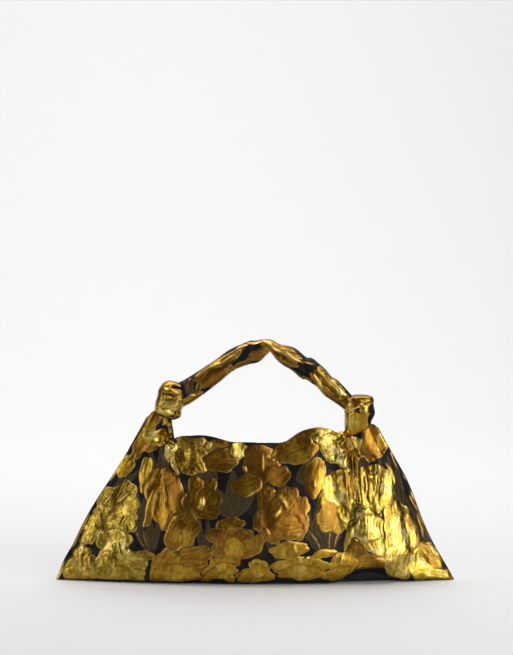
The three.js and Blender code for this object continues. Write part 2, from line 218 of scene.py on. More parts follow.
def edge_height(x):
    left = LEFT_HORN.rise * (1 - smooth(x, MOUTH_START, MOUTH_START + HORN_FLARE))
    right = RIGHT_HORN.rise * smooth(x, MOUTH_END - 2 * HORN_FLARE, MOUTH_END)
    waves = np.maximum(swell(SWELLS[0], x), swell(SWELLS[1], x))
    return MOUTH_HEIGHT + np.maximum(np.maximum(left, right), waves)


EDGE_Z = edge_height(EDGE_X)
EDGE_RUN = np.concatenate([[0], np.cumsum(np.hypot(np.diff(EDGE_X), np.diff(EDGE_Z)))])
EDGE_LENGTH = EDGE_RUN[-1]
LEFT_SHARE = LEFT_HORN.width / EDGE_LENGTH
RIGHT_SHARE_END = 1 - SHOULDER / EDGE_LENGTH
RIGHT_SHARE_START = RIGHT_SHARE_END - RIGHT_HORN.width / EDGE_LENGTH


def edge_point(s):
    run = s * EDGE_LENGTH
    return np.interp(run, EDGE_RUN, EDGE_X), np.interp(run, EDGE_RUN, EDGE_Z)


def seam(base, top, waves, t):
    return mix(base, top, t) + sum(swell(wave, t) for wave in waves)


def panel_point(s, t):
    """x and z of a panel: column s from seam to seam, row t from base to upper edge."""
    top_x, top_z = edge_point(s)
    left = seam(-BASE_HALF, TOP_START, LEFT_SEAM, t)
    right = seam(BASE_HALF, TOP_END, RIGHT_SEAM, t)
    edges = mix(mix(-BASE_HALF, BASE_HALF, s), top_x, t) + mix(left, right, s)
    corners = mix(mix(-BASE_HALF, TOP_START, t), mix(BASE_HALF, TOP_END, t), s)
    return edges - corners, t * top_z


def body_profile(z, top):
    u = 1 - np.clip(z / BULGE_HEIGHT, 0, 1)
    low = mix(BASE_DEPTH, BULGE_DEPTH, np.sqrt(1 - u * u))
    rise = np.clip((z - BULGE_HEIGHT) / (top - BULGE_HEIGHT), 0, 1)
    high = mix(MOUTH_DEPTH, BULGE_DEPTH, (1 + np.cos(np.pi * rise)) / 2)
    return np.where(z < BULGE_HEIGHT, low, high) / 2


def gather(horn_x, foot, x, z):
    """Pleats that fan out from a gathered corner."""
    reach = np.hypot(x - horn_x, z - foot)
    fade = smooth(reach, *GATHER_RISE) * (1 - smooth(reach, *GATHER_FALL))
    return GATHER_HEIGHT * fade * np.cos(GATHER_COUNT * np.arctan2(x - horn_x, foot - z))


def half_depth(folds, s, t):
    """Distance of a panel from the bag's middle plane."""
    x, z = panel_point(s, t)
    top = edge_point(s)[1]
    lens = np.sin(np.pi * np.clip(s, 0, 1)) ** LENS_POWER
    relief = gather(LEFT_HORN.x, LEFT_HORN_TOP - HORN_LENGTH, x, z)
    relief = relief + gather(RIGHT_HORN.x, RIGHT_HORN_TOP - HORN_LENGTH / 2, x, z)
    for fold in folds:
        relief = relief + fold_height(Fold(*fold), x, z)[0]
    settled = smooth(z, 0, BULGE_HEIGHT / 2) * smooth(lens, 0, FOLD_START)
    body = SEAM_HALF + lens * (body_profile(z, top) - SEAM_HALF) + relief * settled
    on_left = s < 1 / 2
    left = s / LEFT_SHARE
    right = (s - RIGHT_SHARE_START) / (RIGHT_SHARE_END - RIGHT_SHARE_START)
    share = np.where(on_left, left, right)
    inside = np.sqrt(np.sin(np.pi * np.clip(share, 0, 1)))
    reach = 1 - smooth(np.maximum(-share, share - 1), 0, HORN_PINCH)
    foot = np.where(on_left, LEFT_HORN_TOP, RIGHT_HORN_TOP) - HORN_LENGTH
    gathered = reach * smooth(z, foot - HORN_BLEND, foot)
    return np.maximum(SEAM_HALF, mix(body, mix(SEAM_HALF, HORN_DEPTH / 2, inside), gathered))


# Pattern of the cloth: gold petals on a dark ground
PANEL_GAP = Span(-0.5, 1.3)  # dark line round a flower that lies over another; none below zero
STRAP_GAP = Span(-1.2, 0)
GAP_GRAIN = Grain(14, 67, -0.6, 0.6)
FAR = 6.0  # distances from a petal's edge are not followed further
NEAR_ZERO = 0.001  # these two keep divisions finite
TINY = 1e-9
PETAL_GROWTH = 1.09
WANDER = 1.5  # how far a petal's edge strays from a plain oval
WANDER_X = (Grain(11, 62), Grain(5, 63))
WANDER_Z = (Grain(11, 64), Grain(5, 65))
WANDER_FINE = 1 / 4
LOBES = 6  # scallops round a petal's edge
LOBE_HEIGHT = 0.13
LOBE_MIDDLE = 0.6  # level of a scallop that lies on the oval
RAGGED = 0.5  # how far a crinkled edge frays
RAGGED_GRAIN = Grain(4, 68)
BLADE_TAPER = -0.4
BLADE_RIM = 0.4  # dark margin round a blade that lies over another

# Relief of the cloth
BLOOM_PUFF = 0.3  # how far a flower stands up from the ground
PETAL_PUFF = 0.06  # how far each petal stands up from its own edge
PUFF_EDGE = 1.0  # distance over which they rise
CREASED = 0.12  # share of the creases that a smooth flower has beside those of its crinkle
CREASED_EDGE = Span(-0.5, 2)
TILT = 0.03  # most that a petal leans
TILT_EDGE = 2.5
RIB = 0.03  # pleats that fan along a smooth petal
RIB_CRINKLED = 0.09  # and what a crinkled one has beyond that
RIB_SPACING = 3.6
RIB_SWAY = 2.5
RIB_GRAIN = Grain(8, 61)
RIB_START = Span(-0.6, 0.6)

# Tones of the cloth, and its painted highlights and painted shade
GLOW = 0.2  # how much paler a flower's middle is, and deeper its outer petals
TONE_SPREAD = 0.12  # how far the petals of one flower differ
TONE_FADE = 0.15  # most that a petal's tone changes along it
STREAK = 0.4  # how far its woven streaks differ
STREAK_CRINKLED = 0.35  # and what a crinkled one has beyond that
STREAK_GRAIN = Grain(1, 66)
STREAKS_ACROSS = 6
STREAKS_ALONG = 1.5
STREAK_MOST = 0.25
VEIN = 0.4  # how much darker the lines between ribs are
VEIN_DEPTH = Span(0.4, 1)
CREST_GLINT = 0.7  # how far the ribs' crests get a painted highlight, in places
CREST_GLINT_GRAIN = Grain(9, 70, 0.1, 0.5)
CREST_GLINT_CREST = Span(0.6, 0.95)
RIM_GLINT_SIDE = (0.7, -0.7)  # side on which a petal's edge gets a painted highlight
RIM_GLINT_FACING = Span(0.3, 0.9)
RIM_GLINT_WIDTH = 1.2
RIM_GLINT_GRAIN = Grain(16, 69, -0.2, 0.3)
PLEAT_GLINT_HEIGHT = 0.9  # height at which a raised pleat's painted highlight is full
PLEAT_SHADE_DEPTH = 1.8  # depth at which a pressed-in pleat's painted shade is full

# Flowers: tone, crinkle, and petals from back to front as pixel, length, width, turn, any shade and taper
FRONT_BLOOMS = [
    # left shoulder, its pale fragment and the tail under the left knot
    (-0.4, 0.3, [
        # the first petal is brown cloth, darkened further as painted shadow under the left knot
        (153, 421, 22, 15, 58, -0.9), (146, 431, 28, 17, 62), (139.5, 447, 27, 12, 70, -0.1),
        (150, 449, 15, 9, 15, -0.4),
    ]),
    (0.2, 0.6, [(155, 440.5, 24, 13, 10, 0, 0.5)]),
    (0.5, 0.6, [(165, 422, 12, 4, 85), (169.5, 431, 18, 4, 100)]),
    # left seam
    (0.2, 0.4, [(125.5, 468.5, 25, 13, 57)]),
    (0.2, 0.6, [(92, 533, 28, 15, 68), (84, 541, 17, 9, 60, -0.3)]),
    # left carnation
    (-0.35, 0.72, [
        (124, 497, 28, 20, 60), (109, 503, 28, 22, 40), (103, 519, 24, 18, 105), (129, 506, 20, 18, 20),
        (124, 520, 28, 24, -70), (112, 524, 26, 20, 0), (116.5, 499, 28, 5, 71, -0.8),
    ]),
    # lower left corner
    (0, 0.6, [
        (81, 560, 20, 18, 90), (71, 571, 24, 15, 50), (90, 569, 24, 14, 95, -0.3),
        (80, 577, 12, 34, 90, 0, -0.2),
    ]),
    # lower left carnation
    (-0.05, 0.68, [
        (113.5, 544, 24, 33, 90, 0.2), (146, 555, 17, 8, -5, -0.5), (143, 564, 12, 9, 80, -0.4),
        (104, 563, 20, 16, 60), (111, 568, 26, 20, 110, -0.2), (131, 564, 28, 24, -40),
        (120, 575, 18, 46, 90, 0, -0.2),
    ]),
    (0.1, 0.3, [(146, 477, 33, 12, 84)]),
    # tulip
    (-0.5, 0.15, [
        (166, 499, 50, 35, 99), (173, 494, 42, 21, 106, -0.3), (152, 507, 38, 11, 72, 0.1),
        (162, 510, 38, 12, 98, 0.15),
    ]),
    # upper edge, left of the dip
    (-0.5, 0.4, [(192, 445, 34, 13, -3), (226, 446, 34, 9, -6, -0.2), (214, 449, 17, 12, 0)]),
    (-0.25, 0.6, [(186, 452, 30, 22, 0, -0.3), (197, 460, 27, 20, -20), (185, 467, 28, 15, -15, -0.4)]),
    (0.45, 0.6, [(169.5, 453.5, 21, 9.5, 84), (177, 448, 10, 4, 65), (174.5, 468, 17, 4, 122)]),
    (0.45, 0.5, [(202, 442, 8, 6, 80), (210, 447, 8, 4, 60)]),
    (-0.6, 0.1, [(221, 461, 31, 22, 3)]),
    (0.55, 0.5, [(239, 452, 16, 14, 80)]),
    # rose
    (-0.5, 0.3, [
        (196, 487, 20, 16, 100), (210, 488, 17, 12, 70), (215, 500, 18, 13, 80, 0.1),
        (191, 503, 20, 16, 90, -0.2), (204, 511, 29, 13, -4, -0.1), (203, 499, 22, 18, 60, 0.25),
    ]),
    # under the tulip
    (-0.3, 0.15, [(182, 533, 42, 28, 62), (176, 536, 30, 14, 66, -0.2), (188, 533, 26, 8, 76, 0.3)]),
    (-0.2, 0.3, [
        (193, 556, 36, 20, 15, -0.3), (196, 567, 26, 18, 5, -0.3), (165, 566, 36, 24, 58),
        (179, 573, 15, 46, 90, 0.25, -0.2),
    ]),
    # peony
    (-0.65, 0.1, [
        (230.5, 524, 14, 27, 90, 0.1), (217.5, 534, 19, 14, 20), (246, 533.5, 17, 12, -20),
        (232, 537, 22, 36, 90, -0.1), (219.5, 549, 16, 14, 90), (257.5, 543.5, 24, 12, 58, 0.4),
        (247.5, 546, 21, 11, 62, 0.55), (246, 554, 20, 7, 15), (234, 547, 21, 19, 100, 0.75),
        (231, 525.5, 9, 6, 0, 0.5),
    ]),
    # middle of the base
    (0.1, 0.2, [
        (225, 561, 27, 12, 0, -0.3), (219, 571, 15, 32, 95, 0, -0.2), (211, 575, 19, 9, 30),
        (229, 572, 18, 14, 100), (222, 567, 10, 11, 90),
    ]),
    (0.1, 0.2, [
        (259, 565, 20, 12, 0), (256, 574, 12, 36, 90, 0, -0.2), (246, 575, 18, 9, 30),
        (268, 574, 16, 9, 150), (258, 570, 12, 13, 90),
    ]),
    # upper pansy and the oval beside it
    (-1.15, 0.1, [(262, 464, 36, 35, 90), (277, 475, 24, 19, -10)]),
    (-0.45, 0.1, [(247, 486, 29, 18, 5)]),
    # pansy
    (-0.75, 0.15, [
        (266.5, 498, 25, 16, 80), (286, 499, 25, 25, 90), (301, 505.5, 19, 13, 90, 0.1),
        (298, 525, 26, 19, 80), (273, 531, 21, 17, 100, 0.1), (260.5, 520, 21, 14, 85),
        (281, 513, 36, 31, 60), (287, 526, 30, 24, 0),
    ]),
    # thin stems in the ground
    (-1.2, 0.2, [(380, 520, 17, 1.6, 87), (336.5, 536, 18, 1.4, 73), (329, 537, 19, 1.2, 86)]),
    (-1.2, 0.2, [(315.5, 541, 22, 1.2, 120), (140.5, 540, 16, 1.2, 120), (146.5, 539, 16, 1.2, 102)]),
    (-0.8, 0.3, [(390.5, 473, 18, 2, 123), (396.5, 497.5, 18, 1.8, 112), (417, 509, 21, 2.4, 119)]),
    (-1.1, 0.3, [(421.5, 529, 20, 1.8, 103), (394, 461, 22, 1.6, 114), (406, 520, 30, 2.4, 112)]),
    # upper edge, right of the dip
    (-0.1, 0.4, [(300, 438, 34, 14, 25), (322, 433, 34, 14, -8), (340, 438, 22, 12, -30)]),
    (-0.4, 0.2, [
        (281, 450, 18, 13, 30), (307, 445, 32, 23, 75), (290, 454, 24, 19, 0), (299, 459, 24, 13, 10),
    ]),
    (0.35, 0.7, [
        (322, 438, 18, 13, 0), (325, 449, 22, 11, 100), (336, 446, 34, 25, 97), (346, 459, 30, 17, 112),
        # the last two petals below are thin dark strips in pressed-in pleats: painted shade
        (356, 449, 25, 17, 95, 0.2), (344, 450, 32, 5, 117, -1.1), (354, 468, 28, 9, 96, -1.1),
    ]),
    # ear outside the right knot, its pale right part a painted highlight
    (-0.6, 0.1, [(375, 444, 37, 26, 75), (383, 446, 20, 9, 70, 1.2)]),
    (-0.4, 0.05, [(315, 478.5, 36, 19, 82), (321, 478, 30, 6, 84, 0.5)]),
    # poppy
    (-0.25, 0.55, [
        (336, 505, 50, 34, 85, -0.1), (328, 512, 36, 22, 80, -0.4), (340, 489, 32, 32, 90, 0.5),
        # the petal at (347, 490) is a thin dark strip in a pressed-in pleat: painted shade
        (352, 504, 44, 14, 98, 0.4), (347, 490, 32, 6, 97, -0.9), (344, 518, 22, 12, 110, 0.2),
    ]),
    # pleated flower under the right knot
    (0.3, 0.6, [
        (375, 491, 42, 37, 90), (363, 488, 34, 13, 92), (375, 488, 36, 13, 90), (387, 490, 30, 13, 84),
        # these two thin dark petals lie in pressed-in pleats: painted shade
        (368.5, 489, 32, 4, 92, -1.2), (381, 489, 30, 4, 87, -1.2),
    ]),
    # pale flowers of the long drape
    (0.5, 0.6, [
        (354, 541, 38, 20, 80, -0.6), (366, 522, 28, 21, 90), (368, 542, 50, 32, 88),
        (376, 554, 28, 20, 100),
    ]),
    (0.3, 0.6, [
        # its first petal is a dark band along a pressed-in fold: painted shade
        (411, 531, 42, 12, 112, -1.2), (397, 522, 34, 25, 88), (401, 545, 42, 29, 88),
        (398, 565, 34, 31, 80),
    ]),
    # lower right corner
    (0.2, 0.6, [
        (424, 567, 30, 27, 82), (432, 559, 30, 14, 130, -0.9), (436, 578, 40, 12, -4),
        # this small pale petal is a painted highlight
        (436, 555, 12, 5, -45, 0.6),
    ]),
    # under the poppy
    (0, 0.25, [
        (355, 556, 30, 18, 80, -0.5), (364, 566, 36, 20, -2, -0.2), (344, 566, 28, 26, 80),
        (336, 574, 26, 12, 8),
    ]),
    # wide flower at the base
    (0.2, 0.25, [
        (322, 554, 25, 7, 16, -0.1), (289, 548.5, 15, 34, 94, -0.3), (301, 564, 16, 54, 90, -0.1, -0.2),
        (281, 563, 17, 9, 20), (302, 571.5, 14, 42, 90, -0.05, -0.2),
    ]),
]

# Tufts of grass woven into the ground: root in pixels, length and width of the blades, and their turns
FRONT_TUFTS = [
    (152, 554, 44, 7, (76, 94, 112, 126)), (325, 556, 50, 7, (62, 80, 98, 114, 130)),
    (232, 516, 46, 14, (50, 88, 128)), (298, 484, 40, 10, (20, 60)), (140, 522, 36, 8, (100, 72)),
    (403, 522, 66, 7, (96, 104, 112)), (434, 560, 66, 7, (108, 115, 122)),
    (362, 476, 34, 7, (70, 95, 120)), (214, 486, 36, 10, (100, 130)), (187, 526, 44, 6, (84, 100)),
    (312, 548, 50, 6, (84, 98)), (160, 486, 40, 7, (70, 88, 108)), (112, 494, 36, 6, (38, 54)),
    (206, 560, 50, 6, (86, 100)), (280, 560, 34, 6, (96, 120)),
]

# Sharp pleats, raised ones with a painted highlight and pressed-in ones with painted shade: ends in
# pixels, half width, height
FRONT_PLEATS = [
    (276, 490, 289, 509, 1.7, 1.1), (270, 517, 282, 509, 1.6, 0.8), (265, 526, 272, 537, 1.5, 0.7),
    (132, 492, 115, 506, 1.6, 0.9), (114, 495, 101, 509, 1.6, 0.8), (99, 512, 101, 530, 1.3, 0.6),
    (128, 515, 122, 528, 1.5, 0.6), (99, 559, 111, 552, 1.3, 0.7), (111, 552, 117, 543, 1.3, 0.8),
    (117, 543, 123, 561, 1.3, 0.9), (127, 562, 133, 550, 1.3, 0.8), (114, 561, 115, 577, 1.4, 0.7),
    (138, 560, 139, 571, 1.3, 0.6), (82, 552, 78, 578, 1.8, 0.8), (90, 556, 91, 576, 1.4, 0.7),
    (163, 484, 167, 512, 1.5, 0.9), (157, 490, 155, 518, 1.5, 0.7), (201, 495, 204, 509, 1.6, 1.1),
    (199, 510, 203, 504, 1.4, 0.7), (181, 476, 185, 496, 1.7, 1.5), (172, 456, 181, 478, 1.7, 1.6),
    (178, 443, 171, 457, 1.7, 1.4), (262, 452, 263, 476, 1.5, 0.6), (243, 466, 248, 474, 1.3, 0.8),
    (292, 542, 297, 555, 1.5, 0.9), (292, 561, 295, 577, 1.5, 0.9), (308, 552, 304, 566, 1.5, 0.8),
    (342, 552, 341, 570, 1.5, 0.9), (220, 562, 222, 574, 1.6, 0.6), (258, 566, 260, 578, 1.6, 0.6),
    (314, 480, 316, 490, 2.2, 0.8), (344, 484, 350, 515, 1.6, 1.3), (336, 512, 348, 524, 1.5, 1.1),
    (366, 474, 367, 500, 1.6, 1.6), (374, 474, 375, 502, 1.6, 1.5), (381, 478, 382, 500, 1.6, 1.3),
    (369, 474, 370, 506, 1.8, -1.2), (380, 476, 379, 504, 1.8, -1.2), (347, 476, 351, 506, 1.6, -0.8),
    (338, 436, 352, 462, 1.6, -1), (353, 456, 356, 484, 2.2, -1.2), (388, 452, 410, 520, 3, 1.6),
    (398, 470, 424, 545, 2.5, 1.4), (392, 475, 412, 540, 3, -1.6), (405, 500, 428, 556, 2.5, -1.4),
    (182, 530, 180, 544, 1.4, 0.6), (186, 525, 184, 538, 1.2, 0.5), (168, 568, 172, 578, 1.6, 0.6),
]


def on_panel(px, py):
    """Point of the front panel that the photograph shows at a pixel."""
    return (px - PHOTO_MIDDLE) * MM_PER_PX, (PHOTO_BASE - py) * MM_PER_PX


def on_strap(px, py):
    """Point of the strap or a knot that the photograph shows at a pixel."""
    return (px - PHOTO_MIDDLE) * STRAP_MM_PER_PX, STRAP_TOP - (py - STRAP_TOP_PX) * STRAP_MM_PER_PX


def read_pattern(place, growth, blooms, tufts, pleats, gap):
    """A pattern listed in pixels of the photograph, in millimetres on the cloth."""
    flowers = []
    for tone, crinkle, rows in blooms:
        petals = [
            Petal(*place(px, py), growth * length, growth * width, *rest)
            for px, py, length, width, *rest in rows
        ]
        flowers.append(Bloom(tone, crinkle, petals))
    grass = [Blade(*place(px, py), *size, turn) for px, py, *size, turns in tufts for turn in turns]
    folds = [Fold(*place(px0, py0), *place(px1, py1), *shape) for px0, py0, px1, py1, *shape in pleats]
    return Pattern(flowers, grass, folds, gap)


def mirrored(pattern):
    """The same flowers read from the other side of the cloth."""
    blooms = [
        bloom._replace(petals=[p._replace(x=-p.x, turn=180 - p.turn) for p in bloom.petals])
        for bloom in pattern.blooms
    ]
    return Pattern(blooms, [], [], pattern.gap)


def petal_place(petal, x, z):
    """Place along and across a petal from -1 to 1, distance within its edge, and how far that edge faces
    the side with a painted highlight.
    """
    cos, sin = math.cos(math.radians(petal.turn)), math.sin(math.radians(petal.turn))
    half_length, half_width = petal.length / 2, petal.width / 2
    along = ((x - petal.x) * cos + (z - petal.z) * sin) / half_length
    across = ((z - petal.z) * cos - (x - petal.x) * sin) / half_width
    across = across / (1 + petal.taper * np.clip(along, -1, 1))
    ring = np.hypot(along, across)
    lobe = LOBE_MIDDLE - np.abs(np.cos(LOBES / 2 * np.arctan2(across, along) + petal.x))
    ring = ring * (1 + petal.ruffle * LOBE_HEIGHT * lobe)
    slope = np.hypot(along / half_length, across / half_width) / np.maximum(ring, NEAR_ZERO)
    lit_along = RIM_GLINT_SIDE[0] * cos + RIM_GLINT_SIDE[1] * sin
    lit_across = RIM_GLINT_SIDE[1] * cos - RIM_GLINT_SIDE[0] * sin
    lit = lit_along * along / half_length + lit_across * across / half_width
    lit = lit / np.maximum(slope * ring, NEAR_ZERO)
    return along, across, np.clip((1 - ring) / np.maximum(slope, NEAR_ZERO), -FAR, FAR), lit


class Weave:
    """The cloth at each point of a grid, drawn from its back flower to its front one."""

    FIELDS = ("inside", "edge", "tone", "crinkle", "blade", "glint", "crease")

    def __init__(self, x, z, gap, seed):
        self.x, self.z = x, z
        self.rng = np.random.default_rng(seed)
        self.inside = np.full(x.shape, -FAR)  # distance within a flower
        self.edge = np.full(x.shape, FAR)  # distance from a petal's edge
        self.blade = np.full(x.shape, -FAR)  # distance within a blade of grass
        # glint holds painted highlights and crease holds painted shade
        self.tone, self.crinkle, self.lean, self.glint, self.crease = (np.zeros(x.shape) for _ in range(5))
        self.gap = mix(*gap, patchy(x, z, GAP_GRAIN))
        self.edge_x = x + self.stray(*WANDER_X)
        self.edge_z = z + self.stray(*WANDER_Z)
        self.sway = RIB_SWAY * noise(x, z, RIB_GRAIN)
        self.fringe = RAGGED * noise(x, z, RAGGED_GRAIN)
        self.rim_glint_patches = patchy(x, z, RIM_GLINT_GRAIN)
        self.crest_glint_patches = CREST_GLINT * patchy(x, z, CREST_GLINT_GRAIN)

    def stray(self, coarse, fine):
        return WANDER * (noise(self.x, self.z, coarse) + WANDER_FINE * noise(self.x, self.z, fine))

    def draw_bloom(self, bloom):
        middle_x = np.mean([petal.x for petal in bloom.petals])
        middle_z = np.mean([petal.z for petal in bloom.petals])
        size = max(math.hypot(p.x - middle_x, p.z - middle_z) + p.width / 2 for p in bloom.petals)
        glow = GLOW * np.clip(1 - 2 * np.hypot(self.x - middle_x, self.z - middle_z) / size, -1, 1)
        within = np.full(self.x.shape, -FAR)
        for petal in bloom.petals:
            within = np.maximum(within, self.draw_petal(petal, bloom, glow))
        self.inside = np.maximum(np.minimum(self.inside, -(within + self.gap)), within)
        self.crinkle = np.where(within > 0, bloom.crinkle, self.crinkle)

    def draw_petal(self, petal, bloom, glow):
        """Draws one petal over those behind it, and gives the distance within it."""
        ragged = bloom.crinkle * self.fringe
        along, across, reach, lit = petal_place(petal, self.edge_x + ragged, self.edge_z + ragged)
        lean_along, lean_across = self.rng.uniform(-TILT, TILT, 2)
        tilted = lean_along * along * petal.length / 2 + lean_across * across * petal.width / 2
        ribs = np.cos(np.pi * petal.width / RIB_SPACING * across + petal.x + self.sway)
        ribs = ribs * smooth(along, *RIB_START)
        shade = bloom.tone + petal.shade + glow + self.rng.uniform(-TONE_SPREAD, TONE_SPREAD)
        shade = shade + self.rng.uniform(-TONE_FADE, TONE_FADE) * along
        streak = noise(STREAKS_ACROSS * across + petal.x, STREAKS_ALONG * along + petal.z, STREAK_GRAIN)
        shade = shade + (STREAK + STREAK_CRINKLED * bloom.crinkle) * np.minimum(streak, STREAK_MOST)
        shade = shade - VEIN * smooth(-ribs, *VEIN_DEPTH)
        # Painted highlight: a pale line along the petal's edge on its lit side, in patches, and on its
        # ribs' crests
        rim = smooth(reach, 0, RIM_GLINT_WIDTH / 2) * (1 - smooth(reach, RIM_GLINT_WIDTH / 2, RIM_GLINT_WIDTH))
        rim = rim * smooth(lit, *RIM_GLINT_FACING) * self.rim_glint_patches
        crest_glints = self.crest_glint_patches * smooth(ribs, *CREST_GLINT_CREST)
        own = reach > 0
        self.edge = np.where(own, reach, np.minimum(self.edge, -reach))
        self.lean = np.where(own, tilted + (RIB + RIB_CRINKLED * bloom.crinkle) * ribs, self.lean)
        self.tone = np.where(own, shade, self.tone)
        self.glint = np.where(own, np.maximum(rim, crest_glints), self.glint)
        return reach

    def draw_blade(self, blade):
        turn = math.radians(blade.turn)
        middle_x = blade.x + blade.length / 2 * math.cos(turn)
        middle_z = blade.z + blade.length / 2 * math.sin(turn)
        size = (blade.length, blade.width, blade.turn)
        oval = Petal(middle_x, middle_z, *size, taper=BLADE_TAPER, ruffle=0)
        reach = petal_place(oval, self.edge_x, self.edge_z)[2]
        self.blade = np.where(reach > -BLADE_RIM, reach, self.blade)

    def relief(self):
        rise = 1 - np.exp(-np.clip(self.inside, 0, None) / PUFF_EDGE)
        height = BLOOM_PUFF * rise + PETAL_PUFF * rise * (1 - np.exp(-self.edge / PUFF_EDGE))
        height = height + self.lean * smooth(np.minimum(self.inside, self.edge), 0, TILT_EDGE)
        creases = crumple(self.x, self.z) * smooth(self.inside, *CREASED_EDGE)
        return height + (CREASED + self.crinkle) * creases

    def press_pleat(self, pleat):
        fold = pleat_height(pleat, self.edge_x, self.edge_z)
        # a raised pleat gets a painted highlight beside its relief
        self.glint = np.maximum(self.glint, np.clip(fold / PLEAT_GLINT_HEIGHT, 0, 1))
        # a pressed-in pleat gets painted shade beside its relief
        self.crease = np.maximum(self.crease, np.clip(-fold / PLEAT_SHADE_DEPTH, 0, 1))
        return fold


def weave(x, z, pattern, seed):
    """Fields of the cloth at each point, and its height there."""
    cloth = Weave(x, z, pattern.gap, seed)
    for bloom in pattern.blooms:
        cloth.draw_bloom(bloom)
    for blade in pattern.blades:
        cloth.draw_blade(blade)
    height = cloth.relief()
    for pleat in pattern.pleats:
        height = height + cloth.press_pleat(pleat)
    return {name: getattr(cloth, name) for name in Weave.FIELDS}, height


def grid_normals(points):
    """Unit normals of a grid of points, towards the right of its rows and columns."""
    normal = np.cross(np.gradient(points, axis=1), np.gradient(points, axis=0))
    return normal / np.maximum(np.linalg.norm(normal, axis=2, keepdims=True), TINY)


def grid_faces(rows, columns, wraps, start):
    faces = []
    last = columns if wraps else columns - 1
    for r in range(rows - 1):
        for c in range(last):
            right = (c + 1) % columns
            low, high = start + r * columns, start + (r + 1) * columns
            faces.append((low + c, low + right, high + right, high + c))
    return faces


def thread_runs(points):
    """Lengths along the two thread directions at each point of a grid."""
    across = np.linalg.norm(np.diff(points, axis=1, prepend=points[:, :1]), axis=2)
    up = np.linalg.norm(np.diff(points, axis=0, prepend=points[:1]), axis=2)
    return np.stack([np.cumsum(across, axis=1), np.cumsum(up, axis=0)], axis=2)


def add_piece(name, patches, material):
    """One mesh from grids of points in millimetres, with the cloth's fields and its thread directions."""
    points, faces, threads = [], [], []
    fields = {key: [] for key in patches[0].fields}
    for patch in patches:
        rows, columns = patch.points.shape[:2]
        faces += grid_faces(rows, columns, patch.wraps, sum(len(p) for p in points))
        points.append(patch.points.reshape(-1, 3) * MM)
        threads.append(thread_runs(patch.points).reshape(-1, 2) * MM)
        for key in fields:
            fields[key].append(patch.fields[key].reshape(-1))
    mesh = bpy.data.meshes.new(name)
    mesh.from_pydata(np.concatenate(points).tolist(), [], faces)
    for key, values in fields.items():
        attribute = mesh.attributes.new(key, "FLOAT", "POINT")
        attribute.data.foreach_set("value", np.concatenate(values).astype(np.float32))
    corners = np.zeros(len(mesh.loops), np.int32)
    mesh.loops.foreach_get("vertex_index", corners)
    layer = mesh.uv_layers.new(name="threads")
    layer.data.foreach_set("uv", np.concatenate(threads)[corners].astype(np.float32).ravel())
    mesh.polygons.foreach_set("use_smooth", np.ones(len(mesh.polygons), bool))
    mesh.materials.append(material)
    piece = bpy.data.objects.new(name, mesh)
    bpy.context.scene.collection.objects.link(piece)
    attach(piece, "root")
    return piece


# Panels: fineness of the mesh
PANEL_COLUMNS = 430
PANEL_ROWS = 176
FLAP_ROWS = 14
HEM_ROWS = 6
COLUMN_CROWDING = 0.3
PANEL_SEED = 5

# Panels: turned hem of the mouth, and the finish along seams and base
HEM_DROP = 5
HEM_TURN = 1.6
HEM_HALF = 0.2
SEAM_BARE = 0.5  # dark ground beside a seam
EDGE_BARE = 0.4  # how much less of it is left along the upper edge
SEAM_LINE = 0.7  # half the broken gold line beside that
SEAM_GRAIN = Grain(12, 23)
SEAM_BREAKS = (1.8, -0.7)  # how far it swells and shrinks, and from what
BASE_LINE = 2.6  # dark ground along the base
BASE_LINE_START = 0.7  # share of the half width, at the left, where it reaches that

# Panels: loose unevenness of the cloth between the folds
LOOSE = [(0.5, Grain(26, 21)), (0.25, Grain(13, 22))]
CALM_EDGE = Span(0, 5)  # distances over which relief begins
CALM_BASE = Span(-8, 2)


def panel_face(side, folds, s, t):
    """A panel between its base and its upper edge."""
    x, z = panel_point(s, t)
    top_x, top = edge_point(s)
    half = half_depth(folds, s, t)
    turn_in = BASE_ROUND - np.sqrt(BASE_ROUND**2 - (BASE_ROUND - np.minimum(z, BASE_ROUND)) ** 2)
    half = np.maximum(SEAM_HALF, half - turn_in * smooth(half, *BASE_ROUND_DEPTH))
    lift = BASE_LIFT * (1 - t)
    waving = smooth(z, top - WAVE_REACH, top)
    if side < 0:
        lift = lift + swell(HEM_ARCH, x) * (1 - smooth(z, 0, ARCH_REACH))
        lift = lift + sum(swell(wave, top_x) for wave in FRONT_WAVES) * waving
    else:
        lift = lift - BACK_DROP * waving
    return stacked(x, side * half, z + lift)


def base_flap(side, edge, x):
    """Rows under the base, out to a panel's lower edge, and their places in the pattern."""
    share = np.linspace(0, 1, FLAP_ROWS, endpoint=False)[:, None]
    depth = np.abs(edge[:, 1])
    y = side * mix(SEAM_HALF, depth, share)
    z = BASE_LIFT + (edge[:, 2] - BASE_LIFT) * share**2
    return stacked(edge[:, 0], y, z), stacked(x, depth * (share - 1))


def turned_hem(side, rim, x, z):
    """Rows turned in behind a panel's upper edge, and their places in the pattern."""
    share = np.linspace(0, 1, HEM_ROWS + 1)[1:, None]
    y = side * np.maximum(HEM_HALF, np.abs(rim[:, 1]) - HEM_TURN * np.sin(np.pi / 2 * share))
    return stacked(rim[:, 0], y, rim[:, 2] - HEM_DROP * share**2), stacked(x, z + HEM_DROP * share)


def bared(side, inside, bare, from_seam, x, z):
    """Distances within the flowers, less the bare ground of the edges, with a gold line beside a seam."""
    swelling, start = SEAM_BREAKS
    line = SEAM_LINE - np.abs(from_seam - SEAM_BARE - SEAM_LINE)
    line = line + SEAM_LINE * (swelling * noise(x, z, SEAM_GRAIN) + start)
    inside = np.maximum(np.minimum(inside, bare - SEAM_BARE), line)
    if side > 0:
        return inside
    arch_start = HEM_ARCH.x - HEM_ARCH.half
    base_line = BASE_LINE * smooth(x, -BASE_HALF, -BASE_LINE_START * BASE_HALF)
    base_line = base_line * (1 - smooth(x, arch_start, arch_start + HEM_ARCH.half / 2))
    return np.minimum(inside, z - base_line)


